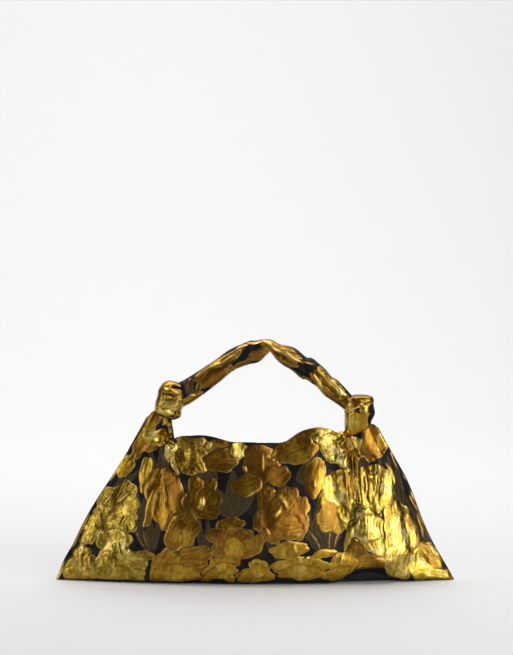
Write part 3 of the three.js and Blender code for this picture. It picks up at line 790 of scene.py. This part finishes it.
def panel_patch(side, folds, pattern):
    """One outer panel: base flap, face and turned hem, with its relief."""
    column = np.linspace(0, 1, PANEL_COLUMNS)
    column = column - COLUMN_CROWDING * np.sin(2 * np.pi * column) / (2 * np.pi)
    s, t = np.meshgrid(column, np.linspace(0, 1, PANEL_ROWS))
    x, z = panel_point(s, t)
    face = panel_face(side, folds, s, t)
    flap, flap_places = base_flap(side, face[0], x[0])
    hem, hem_places = turned_hem(side, face[-1], x[-1], z[-1])
    points = np.concatenate([flap, face, hem])
    px, pz = np.moveaxis(np.concatenate([flap_places, stacked(x, z), hem_places]), 2, 0)
    fields, raised = weave(px, pz, pattern, PANEL_SEED)
    width = mix(2 * BASE_HALF, TOP_END - TOP_START, np.clip(pz / MOUTH_HEIGHT, 0, 1))
    from_seam = np.minimum(column, 1 - column) * width
    bare = np.minimum(from_seam, np.abs(edge_point(column)[1] - pz) + EDGE_BARE)
    fields["inside"] = bared(side, fields["inside"], bare, from_seam, px, pz)
    loose = sum(height * noise(px, pz, grain) for height, grain in LOOSE)
    relief = (raised + loose) * smooth(bare, *CALM_EDGE) * smooth(pz, *CALM_BASE)
    points = points - side * grid_normals(points) * relief[:, :, None]
    points[:, :, 2] = np.maximum(points[:, :, 2], BASE_LIFT / 2)
    return Patch(points, fields, False)


# Lining
LINING_INSET = 6.5
LINING_COLUMNS = 160
LINING_ROWS = 60
LINING_DROP = 3
LINING_FLOOR = 3
LINING_HALF = 0.3
LINING_SIDES = Span(0.05, 0.95)  # shares of the panel
TAIL_HEIGHT = 116  # its upper edge under the strap's tails
LEFT_TAIL_END = Span(0.13, 0.22)
RIGHT_TAIL_START = Span(0.78, 0.86)
LINING_WRINKLE = 0.6
LINING_GRAIN = Grain(22, 31)
WRINKLE_DEPTH = Span(LINING_HALF, 4)
WRINKLE_HEIGHT = Span(4, 14)


def lining_patch(side, folds):
    """One half of the pouch inside the panels."""
    s, row = np.meshgrid(np.linspace(*LINING_SIDES, LINING_COLUMNS), np.linspace(0, 1, LINING_ROWS))
    top = edge_point(s)[1]
    by_tail = np.maximum(1 - smooth(s, *LEFT_TAIL_END), smooth(s, *RIGHT_TAIL_START))
    stop = mix(top, TAIL_HEIGHT, by_tail) - LINING_DROP
    t = mix(LINING_FLOOR / top, stop / top, row)
    x, z = panel_point(s, t)
    half = np.maximum(LINING_HALF, half_depth(folds, s, t) - LINING_INSET)
    wrinkle = LINING_WRINKLE * noise(x, z, LINING_GRAIN)
    wrinkle = wrinkle * smooth(half, *WRINKLE_DEPTH) * smooth(z, *WRINKLE_HEIGHT)
    return Patch(stacked(x, side * (half - np.abs(wrinkle)), z), {}, False)


# Strap: places along it in pixels of the photograph, each with its upper and lower side there
STRAP = [
    (168, 390, 410), (183, 381, 408), (199, 371, 398), (215, 360, 386), (231, 349.5, 373),
    (245, 343.5, 366.5), (256, 339.5, 363.5), (264, 339, 356.5), (271, 340.3, 353), (280, 343, 362.2),
    (292, 346.8, 371.5), (303, 355, 379.6), (311, 358.5, 383.6), (320, 365, 391), (328, 373, 399),
    (335, 379, 404.5), (342, 386, 409.5), (350, 394.5, 416), (358, 402.5, 424),
]
STRAP_DEPTH = 9  # half of it, front to back
STRAP_RINGS = 460
STRAP_SIDES = 120
STRAP_SQUARE = 0.8  # below 1 the section has flatter faces
STRAP_LOOSE = 0.4
STRAP_GRAIN = Grain(9, 41)
STRAP_SEED = 8
STRAP_BLOOMS = [
    # left of the twist
    (-0.9, 0.3, [(216, 366, 50, 13, 31), (258, 355, 20, 12, 18)]),
    (-0.4, 0.2, [(219, 361.5, 56, 6, 31), (236, 352, 26, 6, 26)]),
    (-0.8, 0.1, [(255, 342.3, 18, 2.2, 12)]),
    (-0.4, 0.3, [(232, 356.5, 24, 6, 29)]),
    (-0.7, 0.3, [(255, 357, 24, 7, 22), (240, 365, 18, 6, 32)]),
    (-0.1, 0.2, [(228, 370.5, 12, 7, 62)]),
    (-1.1, 0, [(213, 378, 30, 17, 34)]),
    (-0.3, 0.2, [(192, 400, 26, 10, 28)]),
    (-0.7, 0.1, [(189.5, 384, 12, 1.8, 70), (197.5, 386, 14, 1.6, 80), (201, 388, 13, 1.4, 84)]),
    # right of the twist
    (-0.8, 0.3, [(279, 352, 44, 17, -33)]),
    (-0.4, 0.3, [(283, 348.5, 42, 7, -29)]),
    (-0.3, 0.3, [(280, 355.5, 42, 8, -32)]),
    # pale thin line along the twist's ridge: a painted highlight
    (0.9, 0, [(283, 352, 46, 1.9, -28)]),
    (-0.9, 0.2, [(306, 379, 12, 4, -24), (308, 362.5, 12, 1.4, -10), (296, 372.5, 18, 1.4, -36)]),
    (-0.9, 0.5, [(332, 391, 56, 21, -46)]),
    (-0.3, 0.3, [(320, 384, 32, 7, -52), (321, 369.5, 9, 5, -42)]),
    (-0.5, 0.5, [(330, 386, 24, 9, -46)]),
    (0.1, 0.3, [(332, 377.5, 20, 2.2, -44)]),
    # the thin petal at (341.5, 399.3) is a painted glint
    (0.7, 0.3, [(342.5, 391.5, 11, 6, -50), (341.5, 399.3, 6, 1.6, 4)]),
]
STRAP_TUFTS = [(190, 398, 24, 4, (50, 78, 105))]
# Pleats of the strap and knots, as on the front: raised ones get a painted highlight, pressed-in ones
# painted shade
STRAP_PLEATS = [
    (200, 373, 247, 347.5, 1.2, 1.1), (203, 377, 245, 353, 2.2, -1), (213, 368, 240, 357, 2, -0.9),
    (236, 358, 250, 352, 2, -1.3), (247, 346, 262, 342, 1.1, 0.8), (248, 348.5, 263, 345.5, 2.2, -1.2),
    (226, 373, 238, 362, 1.5, -1), (176, 391, 199, 398, 1.2, 1.4), (186, 391, 202, 391, 4, -1.2),
    (262, 341, 281, 352, 1.3, 1.9), (281, 352, 302, 362, 1.3, 1.7), (266, 346, 296, 365, 2.6, -1.4),
    (278, 345, 296, 352, 1.8, -1.6), (296, 366, 316, 372, 3, -1.8), (302, 360, 322, 370, 1.6, 1.1),
    (312, 372, 328, 396, 1.3, 1), (318, 376, 340, 398, 2.2, -1.3), (326, 375, 341, 388, 1.3, 0.9),
    (340, 397, 346, 396.4, 1.3, -1.6),
]

# Knots: heights down each bundle in pixels, each with its left and right side there
LEFT_KNOT = [
    (381, 167, 170), (383.5, 163, 178), (386.5, 160.5, 183), (391, 158, 185), (397, 157, 185),
    (403, 155, 184.5), (408, 154.5, 183), (412, 154.5, 181), (415.5, 157, 181.2), (418.5, 164, 179.5),
    (421, 170, 175),
]
RIGHT_KNOT = [
    (395.5, 354, 368), (397.5, 349, 373), (401, 346, 374.5), (405, 344, 374), (410, 344.5, 375),
    (414, 345, 375.5), (418, 345, 374), (422, 345, 372), (426, 345, 371), (430, 345, 367.5),
    (434, 346.5, 362), (437, 350, 356),
]
KNOT_DEPTH = 13  # half of it, front to back
KNOT_RINGS = 130
KNOT_SIDES = 150
KNOT_SQUARE = 0.72
KNOT_END = 14  # the higher, the flatter a knot's top and bottom
KNOT_THINNING = 0.7
LEFT_KNOT_SEED = 1
RIGHT_KNOT_SEED = 2
LEFT_KNOT_BLOOMS = [
    (-0.6, 0.3, [(171, 384.5, 22, 8, -5), (163.5, 390, 13, 14, 70)]),
    (-0.4, 0.45, [(169, 398, 36, 22, -4)]),
    (0.5, 0.5, [(168, 409, 31, 18, -6)]),
]
RIGHT_KNOT_BLOOMS = [
    (-1.0, 0.1, [(362, 399, 27, 11, 0), (356, 403, 13, 9, 40, 0.2)]),
    (0.35, 0.3, [(364.5, 410, 22, 9.5, 92)]),
    (0.2, 0.1, [(349, 419, 20, 10, 90), (355.5, 424, 30, 24, 92)]),
    (0.6, 0.2, [(347.5, 404.5, 16, 13, -60)]),
]
LEFT_KNOT_PLEATS = [
    (168, 387.3, 186, 389.3, 1.3, -3.4), (162.5, 387.7, 169, 390.4, 1.2, 1.3),
    (169, 390.4, 185, 395.3, 1.2, 1.5), (160, 393, 179, 396.4, 1.4, -1.3),
    (163.5, 397.2, 172, 398, 1.5, 1.1), (159, 400.2, 180, 400, 1.4, -1.3), (176, 404, 179, 406, 3, 1.2),
    (160.4, 407.6, 172, 409, 1.2, -0.8), (179.5, 399, 180.5, 410, 1.2, -1),
    (158, 411, 172, 413.5, 2.4, 1.3), (174.5, 412.6, 176.5, 413.6, 1.6, -2.8),
    (167, 417.6, 177, 415.6, 1.1, -2), (177, 415.6, 181, 412, 1.1, -2),
]
RIGHT_KNOT_PLEATS = [
    (351, 397.5, 360, 403, 1.4, -1), (360, 403, 371, 402.6, 1.2, -1.4), (351.6, 410, 359, 404.6, 1, 1.2),
    (352.5, 411.6, 359.5, 408, 1.2, -3), (355.5, 412.4, 359.6, 411.4, 1.4, -3),
    (345.5, 411.4, 352.5, 411.6, 0.9, -0.8), (368.6, 403.5, 369, 416, 1.1, -2.6),
    (369, 416, 367.6, 424, 1.1, -2.6), (348.5, 415, 349.5, 432, 2.4, 0.6),
    (364, 405, 364.5, 416, 2.4, 0.9), (371, 404, 373, 412, 1.2, 1.2),
]
FACING = 0.5  # how far a side faces front or back before it has its full relief


def spline(values, count):
    """Smooth curve through evenly spaced values."""
    values = np.asarray(values, float)
    padded = np.concatenate([[2 * values[0] - values[1]], values, [2 * values[-1] - values[-2]]])
    place = np.linspace(0, len(values) - 1, count)
    i = np.minimum(place.astype(int), len(values) - 2)
    u = place - i
    a, b, c, d = padded[i], padded[i + 1], padded[i + 2], padded[i + 3]
    return (2 * b + (c - a) * u + (2 * a - 5 * b + 4 * c - d) * u**2 + (3 * b - a - 3 * c + d) * u**3) / 2


def facing(turn):
    """Share of the relief that a bundle takes: all on its faces, none along its upper and lower line."""
    return smooth(np.abs(np.sin(turn)), 0, FACING)


def around(sides):
    return np.linspace(0, 2 * np.pi, sides, endpoint=False)[None, :]


def rounded(turn, square):
    """Cosine and sine of a section with flatter faces than a circle has."""
    cos, sin = np.cos(turn), np.sin(turn)
    return np.sign(cos) * np.abs(cos) ** square, np.sign(sin) * np.abs(sin) ** square


def strap_patch(pattern):
    """Padded strap between the knots: a flattened tube along its stations."""
    middles = [on_strap(px, (top + bottom) / 2) for px, top, bottom in STRAP]
    x, z = (spline(values, STRAP_RINGS)[:, None] for values in zip(*middles))
    tall = spline([(bottom - top) / 2 * STRAP_MM_PER_PX for _, top, bottom in STRAP], STRAP_RINGS)[:, None]
    along_x, along_z = np.gradient(x, axis=0), np.gradient(z, axis=0)
    length = np.hypot(along_x, along_z)
    turn = around(STRAP_SIDES)
    up, out = rounded(turn, STRAP_SQUARE)
    high = tall * along_x / length * up
    face_x, face_z = x - along_z / length * high, z + along_x / length * high
    fields, height = weave(face_x, face_z, pattern, STRAP_SEED)
    height = (height + STRAP_LOOSE * noise(face_x, face_z, STRAP_GRAIN)) * facing(turn)
    return Patch(stacked(face_x, -(STRAP_DEPTH + height) * out, face_z), fields, True)


def knot_patch(levels, pattern, seed):
    """A knot: one rounded bundle between its left and right sides, with the creases of its turns."""
    lefts = [on_strap(left, py) for py, left, _ in levels]
    left, z = (spline(values, KNOT_RINGS)[:, None] for values in zip(*lefts))
    right = spline([on_strap(right, py)[0] for py, _, right in levels], KNOT_RINGS)[:, None]
    closed = np.sqrt(1 - np.abs(np.linspace(-1, 1, KNOT_RINGS)) ** KNOT_END)[:, None]
    middle, half = (left + right) / 2, (right - left) / 2 * closed
    turn = around(KNOT_SIDES)
    aside, out = rounded(turn, KNOT_SQUARE)
    depth = KNOT_DEPTH * (half / half.max()) ** KNOT_THINNING
    x = middle + half * aside
    z = np.broadcast_to(z, x.shape)
    fields, height = weave(x, z, pattern, seed)
    height = height * facing(turn) * smooth(depth, 0, KNOT_DEPTH / 2)
    return Patch(stacked(x, -(depth + height) * out, z), fields, True)


# Kinds of value in a material
Ramp = namedtuple("Ramp", "low high to_low to_high kind", defaults=(0.0, 1.0, "SMOOTHSTEP"))
Cloud = namedtuple("Cloud", "scale detail roughness", defaults=(0.5,))
Threads = namedtuple("Threads", "spacing depth")
WAVE_PERIOD = 0.31  # of a wave texture at scale 1

# Colours
GOLD_DEEP = (0.36, 0.155, 0.016, 1)
GOLD = (0.71, 0.41, 0.03, 1)
GOLD_BRIGHT = (0.95, 0.61, 0.07, 1)
GOLD_PALE = (0.88, 0.72, 0.32, 1)
OLIVE_DEEP = (0.33, 0.19, 0.02, 1)
OLIVE = (0.66, 0.47, 0.06, 1)
OLIVE_BRIGHT = (0.92, 0.70, 0.20, 1)
# painted highlight of raised pleats, petal rims and rib crests
GLINT = (1.0, 0.76, 0.20, 1)
GROUND = (0.006, 0.0055, 0.006, 1)
GROUND_WARM = (0.024, 0.017, 0.011, 1)
THREAD = (0.12, 0.08, 0.03, 1)
# painted shade in pressed-in pleats
CREASE_SHADE = (0.05, 0.018, 0.004, 1)
LINING_BLACK = (0.012, 0.011, 0.011, 1)
LINING_GREY = (0.02, 0.018, 0.017, 1)
BRASS = (0.72, 0.55, 0.26, 1)
BRASS_WORN = (0.5, 0.36, 0.16, 1)

# Gold of the jacquard: ramps over the cloth's fields, clouds, and depths of its bumps
GOLD_EDGE = Ramp(-0.45, 0.45)
RIM_HIGHLIGHT_START = Ramp(0.1, 0.5)  # painted highlight: a pale rim just within a flower
RIM_HIGHLIGHT_END = Ramp(1.3, 0.6)
RIM_HIGHLIGHT_SHARE = 0.2
LINE_NEAR = Ramp(1.0, 0.15)  # dark line between petals, away from the rim
LINE_WITHIN = Ramp(0.8, 1.6)
LINE_DARK = Ramp(0.0, 0.8, 0.8, 0.3)
PATCHES = Cloud(60.0, 2.0)
PATCH_TONE = Ramp(0.3, 0.7, -0.25, 0.25)
MOTTLE = Cloud(230.0, 2.0)
MOTTLE_TONE = Ramp(0.35, 0.65, -0.6, 0.25)
MOTTLE_SHARE = Ramp(0.0, 1.0, 0.4, 1.0)
OLIVE_SHARE = Ramp(0.35, 0.75)
TO_GOLD = Ramp(-0.9, 0.0, kind="LINEAR")
TO_BRIGHT = Ramp(0.0, 0.45, kind="LINEAR")
TO_PALE = Ramp(0.3, 0.9, kind="LINEAR")
# share of the painted highlight at glints
GLINT_SHARE = 0.8
# share of the painted shade in pressed-in pleats
CREASE_SHADE_SHARE = Ramp(0.2, 0.9, 0.0, 0.9)
PALE_METAL = Ramp(0.3, 1.0, 1.0, 0.55)
FOIL = Cloud(260.0, 3.0, 0.6)
FOIL_DEPTH = 0.00008
FOIL_CRINKLED = 0.0003  # what a crinkled flower has beyond that
FOIL_ROUGH = Ramp(0.5, 1.0, 0.29, 0.2, "LINEAR")
GOLD_THREADS = Threads(0.0006, 0.00003)

# Ground of the jacquard
BLADE_EDGE = Ramp(0.0, 0.4)
BLADE_INNER = Ramp(1.3, 0.5, 0.45, 1.0)
BLADE_METAL = 0.4
GROUND_CLOUD = Cloud(45.0, 3.0)
WARM_SHARE = Ramp(0.4, 0.75)
GROUND_THREADS = Threads(0.0009, 0.00008)

# Satin of the lining, and brass of the snap
SATIN_CLOUD = Cloud(40.0, 2.0)
SATIN_ROUGH = Ramp(0.3, 0.7, 0.34, 0.46)
SATIN_THREADS = Threads(0.0007, 0.00004)
BRASS_WEAR = Cloud(900.0, 4.0)
BRASS_ROUGH = Ramp(0.3, 0.7, 0.18, 0.34)
BRASS_DEPTH = 0.00004


class Shader:
    """Short way to add nodes to a material or the world and join them."""

    def __init__(self, owner):
        owner.use_nodes = True
        self.owner = owner
        self.tree = owner.node_tree
        self.tree.nodes.clear()

    def add(self, kind, inputs=None, **settings):
        node = self.tree.nodes.new(kind)
        for key, value in settings.items():
            setattr(node, key, value)
        for key, value in (inputs or {}).items():
            if isinstance(value, bpy.types.NodeSocket):
                self.tree.links.new(value, node.inputs[key])
            else:
                node.inputs[key].default_value = value
        return node

    def places(self):
        return self.add("ShaderNodeTexCoord").outputs["Object"]

    def field(self, name):
        return self.add("ShaderNodeAttribute", attribute_name=name).outputs["Fac"]

    def noise(self, cloud):
        inputs = {"Vector": self.places(), **dict(zip(("Scale", "Detail", "Roughness"), cloud))}
        return self.add("ShaderNodeTexNoise", inputs).outputs["Fac"]

    def ramp(self, value, ramp):
        names = ("From Min", "From Max", "To Min", "To Max")
        inputs = {"Value": value, **dict(zip(names, ramp))}
        return self.add("ShaderNodeMapRange", inputs, interpolation_type=ramp.kind).outputs["Result"]

    def math(self, operation, a, b=0.0):
        return self.add("ShaderNodeMath", {0: a, 1: b}, operation=operation).outputs[0]

    def times(self, a, b):
        return self.math("MULTIPLY", a, b)

    def mix_colour(self, share, a, b):
        # Sockets 6 and 7 of a Mix node are its two colours, and output 2 is their mix
        return self.add("ShaderNodeMix", {"Factor": share, 6: a, 7: b}, data_type="RGBA").outputs[2]

    def mix_shader(self, share, a, b):
        return self.add("ShaderNodeMixShader", {0: share, 1: a, 2: b}).outputs[0]

    def bump(self, height, distance, normal=None):
        inputs = {"Height": height, "Distance": distance, "Strength": 1.0}
        if normal is not None:
            inputs["Normal"] = normal
        return self.add("ShaderNodeBump", inputs).outputs["Normal"]

    def threads(self, threads, normal=None):
        """Fine ribs of the weave, across the cloth."""
        runs = self.add("ShaderNodeUVMap", uv_map="threads").outputs["UV"]
        inputs = {"Vector": runs, "Scale": WAVE_PERIOD / threads.spacing, "Distortion": 0.6, "Detail": 1.0}
        ribs = self.add("ShaderNodeTexWave", inputs, bands_direction="DIAGONAL")
        return self.bump(ribs.outputs["Fac"], threads.depth, normal)

    def surface(self, inputs):
        return self.add("ShaderNodeBsdfPrincipled", inputs).outputs[0]

    def finish(self, shader):
        self.add("ShaderNodeOutputMaterial", {"Surface": shader})
        return self.owner


def gold_shade(m, crinkle):
    """Tone of the gold, with its woven patches and mottle and the lines between its petals."""
    shade = m.math("ADD", m.field("tone"), m.ramp(m.noise(PATCHES), PATCH_TONE))
    mottle = m.times(m.ramp(crinkle, MOTTLE_SHARE), m.ramp(m.noise(MOTTLE), MOTTLE_TONE))
    line = m.times(m.ramp(m.field("edge"), LINE_NEAR), m.ramp(m.field("inside"), LINE_WITHIN))
    return m.math("SUBTRACT", m.math("ADD", shade, mottle), m.times(line, m.ramp(crinkle, LINE_DARK)))


def gold_colour(m, shade, crinkle):
    """From deep to pale by its shade, olive where crinkled, with pale rims and glints painted as
    highlights and creases painted dark as shade.
    """
    olive = m.ramp(crinkle, OLIVE_SHARE)
    colour = m.mix_colour(olive, GOLD_DEEP, OLIVE_DEEP)
    colour = m.mix_colour(m.ramp(shade, TO_GOLD), colour, m.mix_colour(olive, GOLD, OLIVE))
    colour = m.mix_colour(m.ramp(shade, TO_BRIGHT), colour, m.mix_colour(olive, GOLD_BRIGHT, OLIVE_BRIGHT))
    colour = m.mix_colour(m.ramp(shade, TO_PALE), colour, GOLD_PALE)
    inside, glint = m.field("inside"), m.field("glint")
    rim = m.times(m.ramp(inside, RIM_HIGHLIGHT_START), m.ramp(inside, RIM_HIGHLIGHT_END))
    colour = m.mix_colour(m.times(rim, RIM_HIGHLIGHT_SHARE), colour, GOLD_PALE)
    colour = m.mix_colour(m.times(m.times(glint, glint), GLINT_SHARE), colour, GLINT)
    return m.mix_colour(m.ramp(m.field("crease"), CREASE_SHADE_SHARE), colour, CREASE_SHADE)


def gold_surface(m):
    crinkle = m.field("crinkle")
    shade = gold_shade(m, crinkle)
    foil_depth = m.math("ADD", m.times(crinkle, FOIL_CRINKLED), FOIL_DEPTH)
    inputs = {
        "Base Color": gold_colour(m, shade, crinkle),
        "Metallic": m.ramp(shade, PALE_METAL),
        "Roughness": m.ramp(crinkle, FOIL_ROUGH),
        "Coat Weight": 0.2,
        "Coat Roughness": 0.22,
        "Normal": m.threads(GOLD_THREADS, m.bump(m.noise(FOIL), foil_depth)),
    }
    return m.surface(inputs)


def ground_surface(m):
    grass = m.field("blade")
    blade = m.times(m.ramp(grass, BLADE_EDGE), m.ramp(grass, BLADE_INNER))
    colour = m.mix_colour(m.ramp(m.noise(GROUND_CLOUD), WARM_SHARE), GROUND, GROUND_WARM)
    inputs = {
        "Base Color": m.mix_colour(blade, colour, THREAD),
        "Metallic": m.times(blade, BLADE_METAL),
        "Roughness": 0.4,
        "Specular IOR Level": 0.18,
        "Normal": m.threads(GROUND_THREADS),
    }
    return m.surface(inputs)


def jacquard_material():
    m = Shader(bpy.data.materials.new("jacquard_cloth"))
    gold_share = m.ramp(m.field("inside"), GOLD_EDGE)
    return m.finish(m.mix_shader(gold_share, ground_surface(m), gold_surface(m)))


def satin_material():
    m = Shader(bpy.data.materials.new("satin_lining"))
    cloud = m.noise(SATIN_CLOUD)
    inputs = {
        "Base Color": m.mix_colour(cloud, LINING_BLACK, LINING_GREY),
        "Roughness": m.ramp(cloud, SATIN_ROUGH),
        "Sheen Weight": 0.15,
        "Anisotropic": 0.4,
        "Normal": m.threads(SATIN_THREADS),
    }
    return m.finish(m.surface(inputs))


def brass_material():
    m = Shader(bpy.data.materials.new("snap_brass"))
    wear = m.noise(BRASS_WEAR)
    inputs = {
        "Base Color": m.mix_colour(wear, BRASS, BRASS_WORN),
        "Metallic": 1.0,
        "Roughness": m.ramp(wear, BRASS_ROUGH),
        "Normal": m.bump(wear, BRASS_DEPTH),
    }
    return m.finish(m.surface(inputs))


# Pieces
jacquard = jacquard_material()
satin = satin_material()
brass = brass_material()

front_pattern = read_pattern(on_panel, PETAL_GROWTH, FRONT_BLOOMS, FRONT_TUFTS, FRONT_PLEATS, PANEL_GAP)
strap_pattern = read_pattern(on_strap, 1, STRAP_BLOOMS, STRAP_TUFTS, STRAP_PLEATS, STRAP_GAP)
left_pattern = read_pattern(on_strap, 1, LEFT_KNOT_BLOOMS, [], LEFT_KNOT_PLEATS, STRAP_GAP)
right_pattern = read_pattern(on_strap, 1, RIGHT_KNOT_BLOOMS, [], RIGHT_KNOT_PLEATS, STRAP_GAP)
front_cloth = panel_patch(-1, FRONT_FOLDS, front_pattern)
front = add_piece("front_cloth", [front_cloth], jacquard)
back_cloth = panel_patch(1, BACK_FOLDS, mirrored(front_pattern))
back = add_piece("back_cloth", [back_cloth], jacquard)
lining_halves = [lining_patch(-1, FRONT_FOLDS), lining_patch(1, BACK_FOLDS)]
pouch = add_piece("lining_pouch", lining_halves, satin)
left_knot = knot_patch(LEFT_KNOT, left_pattern, LEFT_KNOT_SEED)
right_knot = knot_patch(RIGHT_KNOT, right_pattern, RIGHT_KNOT_SEED)
strap = add_piece("knotted_strap", [strap_patch(strap_pattern), left_knot, right_knot], jacquard)

for piece, node in ((front, "front_panel"), (back, "back_panel")):
    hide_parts(node)
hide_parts("lining")
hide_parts("knotted_handle")
for node in ("snap_stud", "snap_socket"):
    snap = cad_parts[node]
    snap.data.materials.clear()
    snap.data.materials.append(brass)

# Stage: floor that rises into a backdrop
FLOOR_FRONT = -1.9
FLOOR_BACK = 1.4
COVE = 1.0
WALL_TOP = 4.0
STAGE_HALF = 4.0
COVE_STEPS = 24
PAPER = (0.8, 0.8, 0.8, 1)
PAPER_SHADED_IN_REFLECTIONS = (0.42, 0.42, 0.42, 1)  # darker floor colour that only glossy rays see: painted shade in the metal's reflections of it
PAPER_DEPTH = 0.0001
BEYOND_LEVEL = 0.85  # what shows past the backdrop
FADE_AHEAD = Ramp(-0.45, -1.2)  # where the floor fades to that, in front of the bag
FADE_ASIDE = Ramp(0.8, 1.8)  # and to each side of it


def paper_material():
    m = Shader(bpy.data.materials.new("pale_paper"))
    path = m.add("ShaderNodeLightPath").outputs
    grain = m.add("ShaderNodeTexNoise", {"Scale": 400.0, "Detail": 2.0}).outputs["Fac"]
    inputs = {
        "Base Color": m.mix_colour(path["Is Glossy Ray"], PAPER, PAPER_SHADED_IN_REFLECTIONS),
        "Roughness": 0.9,
        "Specular IOR Level": 0.1,
        "Normal": m.bump(grain, PAPER_DEPTH),
    }
    place = m.add("ShaderNodeSeparateXYZ", {0: m.places()}).outputs
    ahead = m.ramp(place["Y"], FADE_AHEAD)
    aside = m.ramp(m.math("ABSOLUTE", place["X"]), FADE_ASIDE)
    far = m.times(m.math("MAXIMUM", ahead, aside), path["Is Camera Ray"])
    beyond = m.add("ShaderNodeEmission", {"Strength": BEYOND_LEVEL}).outputs[0]
    return m.finish(m.mix_shader(far, m.surface(inputs), beyond))


def add_backdrop():
    line = [(FLOOR_FRONT, 0.0)]
    for step in range(COVE_STEPS + 1):
        angle = math.pi / 2 * step / COVE_STEPS
        line.append((FLOOR_BACK + COVE * math.sin(angle), COVE * (1 - math.cos(angle))))
    line.append((FLOOR_BACK + COVE, WALL_TOP))
    points = [(x, y, z) for y, z in line for x in (-STAGE_HALF, STAGE_HALF)]
    faces = [(2 * i, 2 * i + 1, 2 * i + 3, 2 * i + 2) for i in range(len(line) - 1)]
    mesh = bpy.data.meshes.new("backdrop")
    mesh.from_pydata(points, [], faces)
    mesh.polygons.foreach_set("use_smooth", np.ones(len(faces), bool))
    mesh.materials.append(paper_material())
    stage = bpy.data.objects.new("backdrop", mesh)
    bpy.context.scene.collection.objects.link(stage)


# Lights: place, aim, size, power
Lamp = namedtuple("Lamp", "name place aim size power")
BAG_MIDDLE = (0, 0, 0.1)
LAMPS = [
    Lamp("overhead", (0.4, 0.7, 2.4), (0.4, 0.5, 0), (3.0, 2.4), 50),
    Lamp("right_box", (1.3, -1.45, 0.75), BAG_MIDDLE, (1.5, 1.5), 17),
    Lamp("left_box", (-1.6, -1.3, 0.7), BAG_MIDDLE, (0.55, 1.3), 5),
    Lamp("wall_wash", (-1.2, 0.4, 2.6), (-1.2, 2.4, 1.0), (2.6, 0.8), 41),
]


def add_aimed(data, place, aim):
    """A lamp or camera at a place, turned to look at another."""
    thing = bpy.data.objects.new(data.name, data)
    thing.location = place
    thing.rotation_euler = (Vector(aim) - thing.location).to_track_quat("-Z", "Y").to_euler()
    bpy.context.scene.collection.objects.link(thing)
    return thing


def add_lamp(lamp):
    data = bpy.data.lights.new(lamp.name, "AREA")
    data.shape = "RECTANGLE"
    data.size, data.size_y = lamp.size
    data.energy = lamp.power
    add_aimed(data, lamp.place, lamp.aim)


ROOM_LEVEL = 0.07
SURROUND = Ramp(0.0, 1.0, ROOM_LEVEL, BEYOND_LEVEL, "LINEAR")


def add_world():
    m = Shader(bpy.data.worlds.new("room"))
    level = m.ramp(m.add("ShaderNodeLightPath").outputs["Is Camera Ray"], SURROUND)
    background = m.add("ShaderNodeBackground", {"Color": (1, 1, 1, 1), "Strength": level})
    m.add("ShaderNodeOutputWorld", {"Surface": background.outputs[0]})
    bpy.context.scene.world = m.owner


# Camera at the photograph's angle
CAMERA_AIM = Vector((0.0015, 0, 0.2535))
CAMERA_DISTANCE = 1.8
CAMERA_ELEVATION = 2.5
CAMERA_VIEW = 16.2


def add_camera():
    data = bpy.data.cameras.new("camera")
    data.sensor_fit = "HORIZONTAL"
    data.angle = math.radians(CAMERA_VIEW)
    rise = math.radians(CAMERA_ELEVATION)
    place = CAMERA_AIM + CAMERA_DISTANCE * Vector((0, -math.cos(rise), math.sin(rise)))
    bpy.context.scene.camera = add_aimed(data, place, CAMERA_AIM)


add_backdrop()
for lamp in LAMPS:
    add_lamp(lamp)
add_world()
add_camera()
bpy.context.scene.view_settings.view_transform = "Standard"
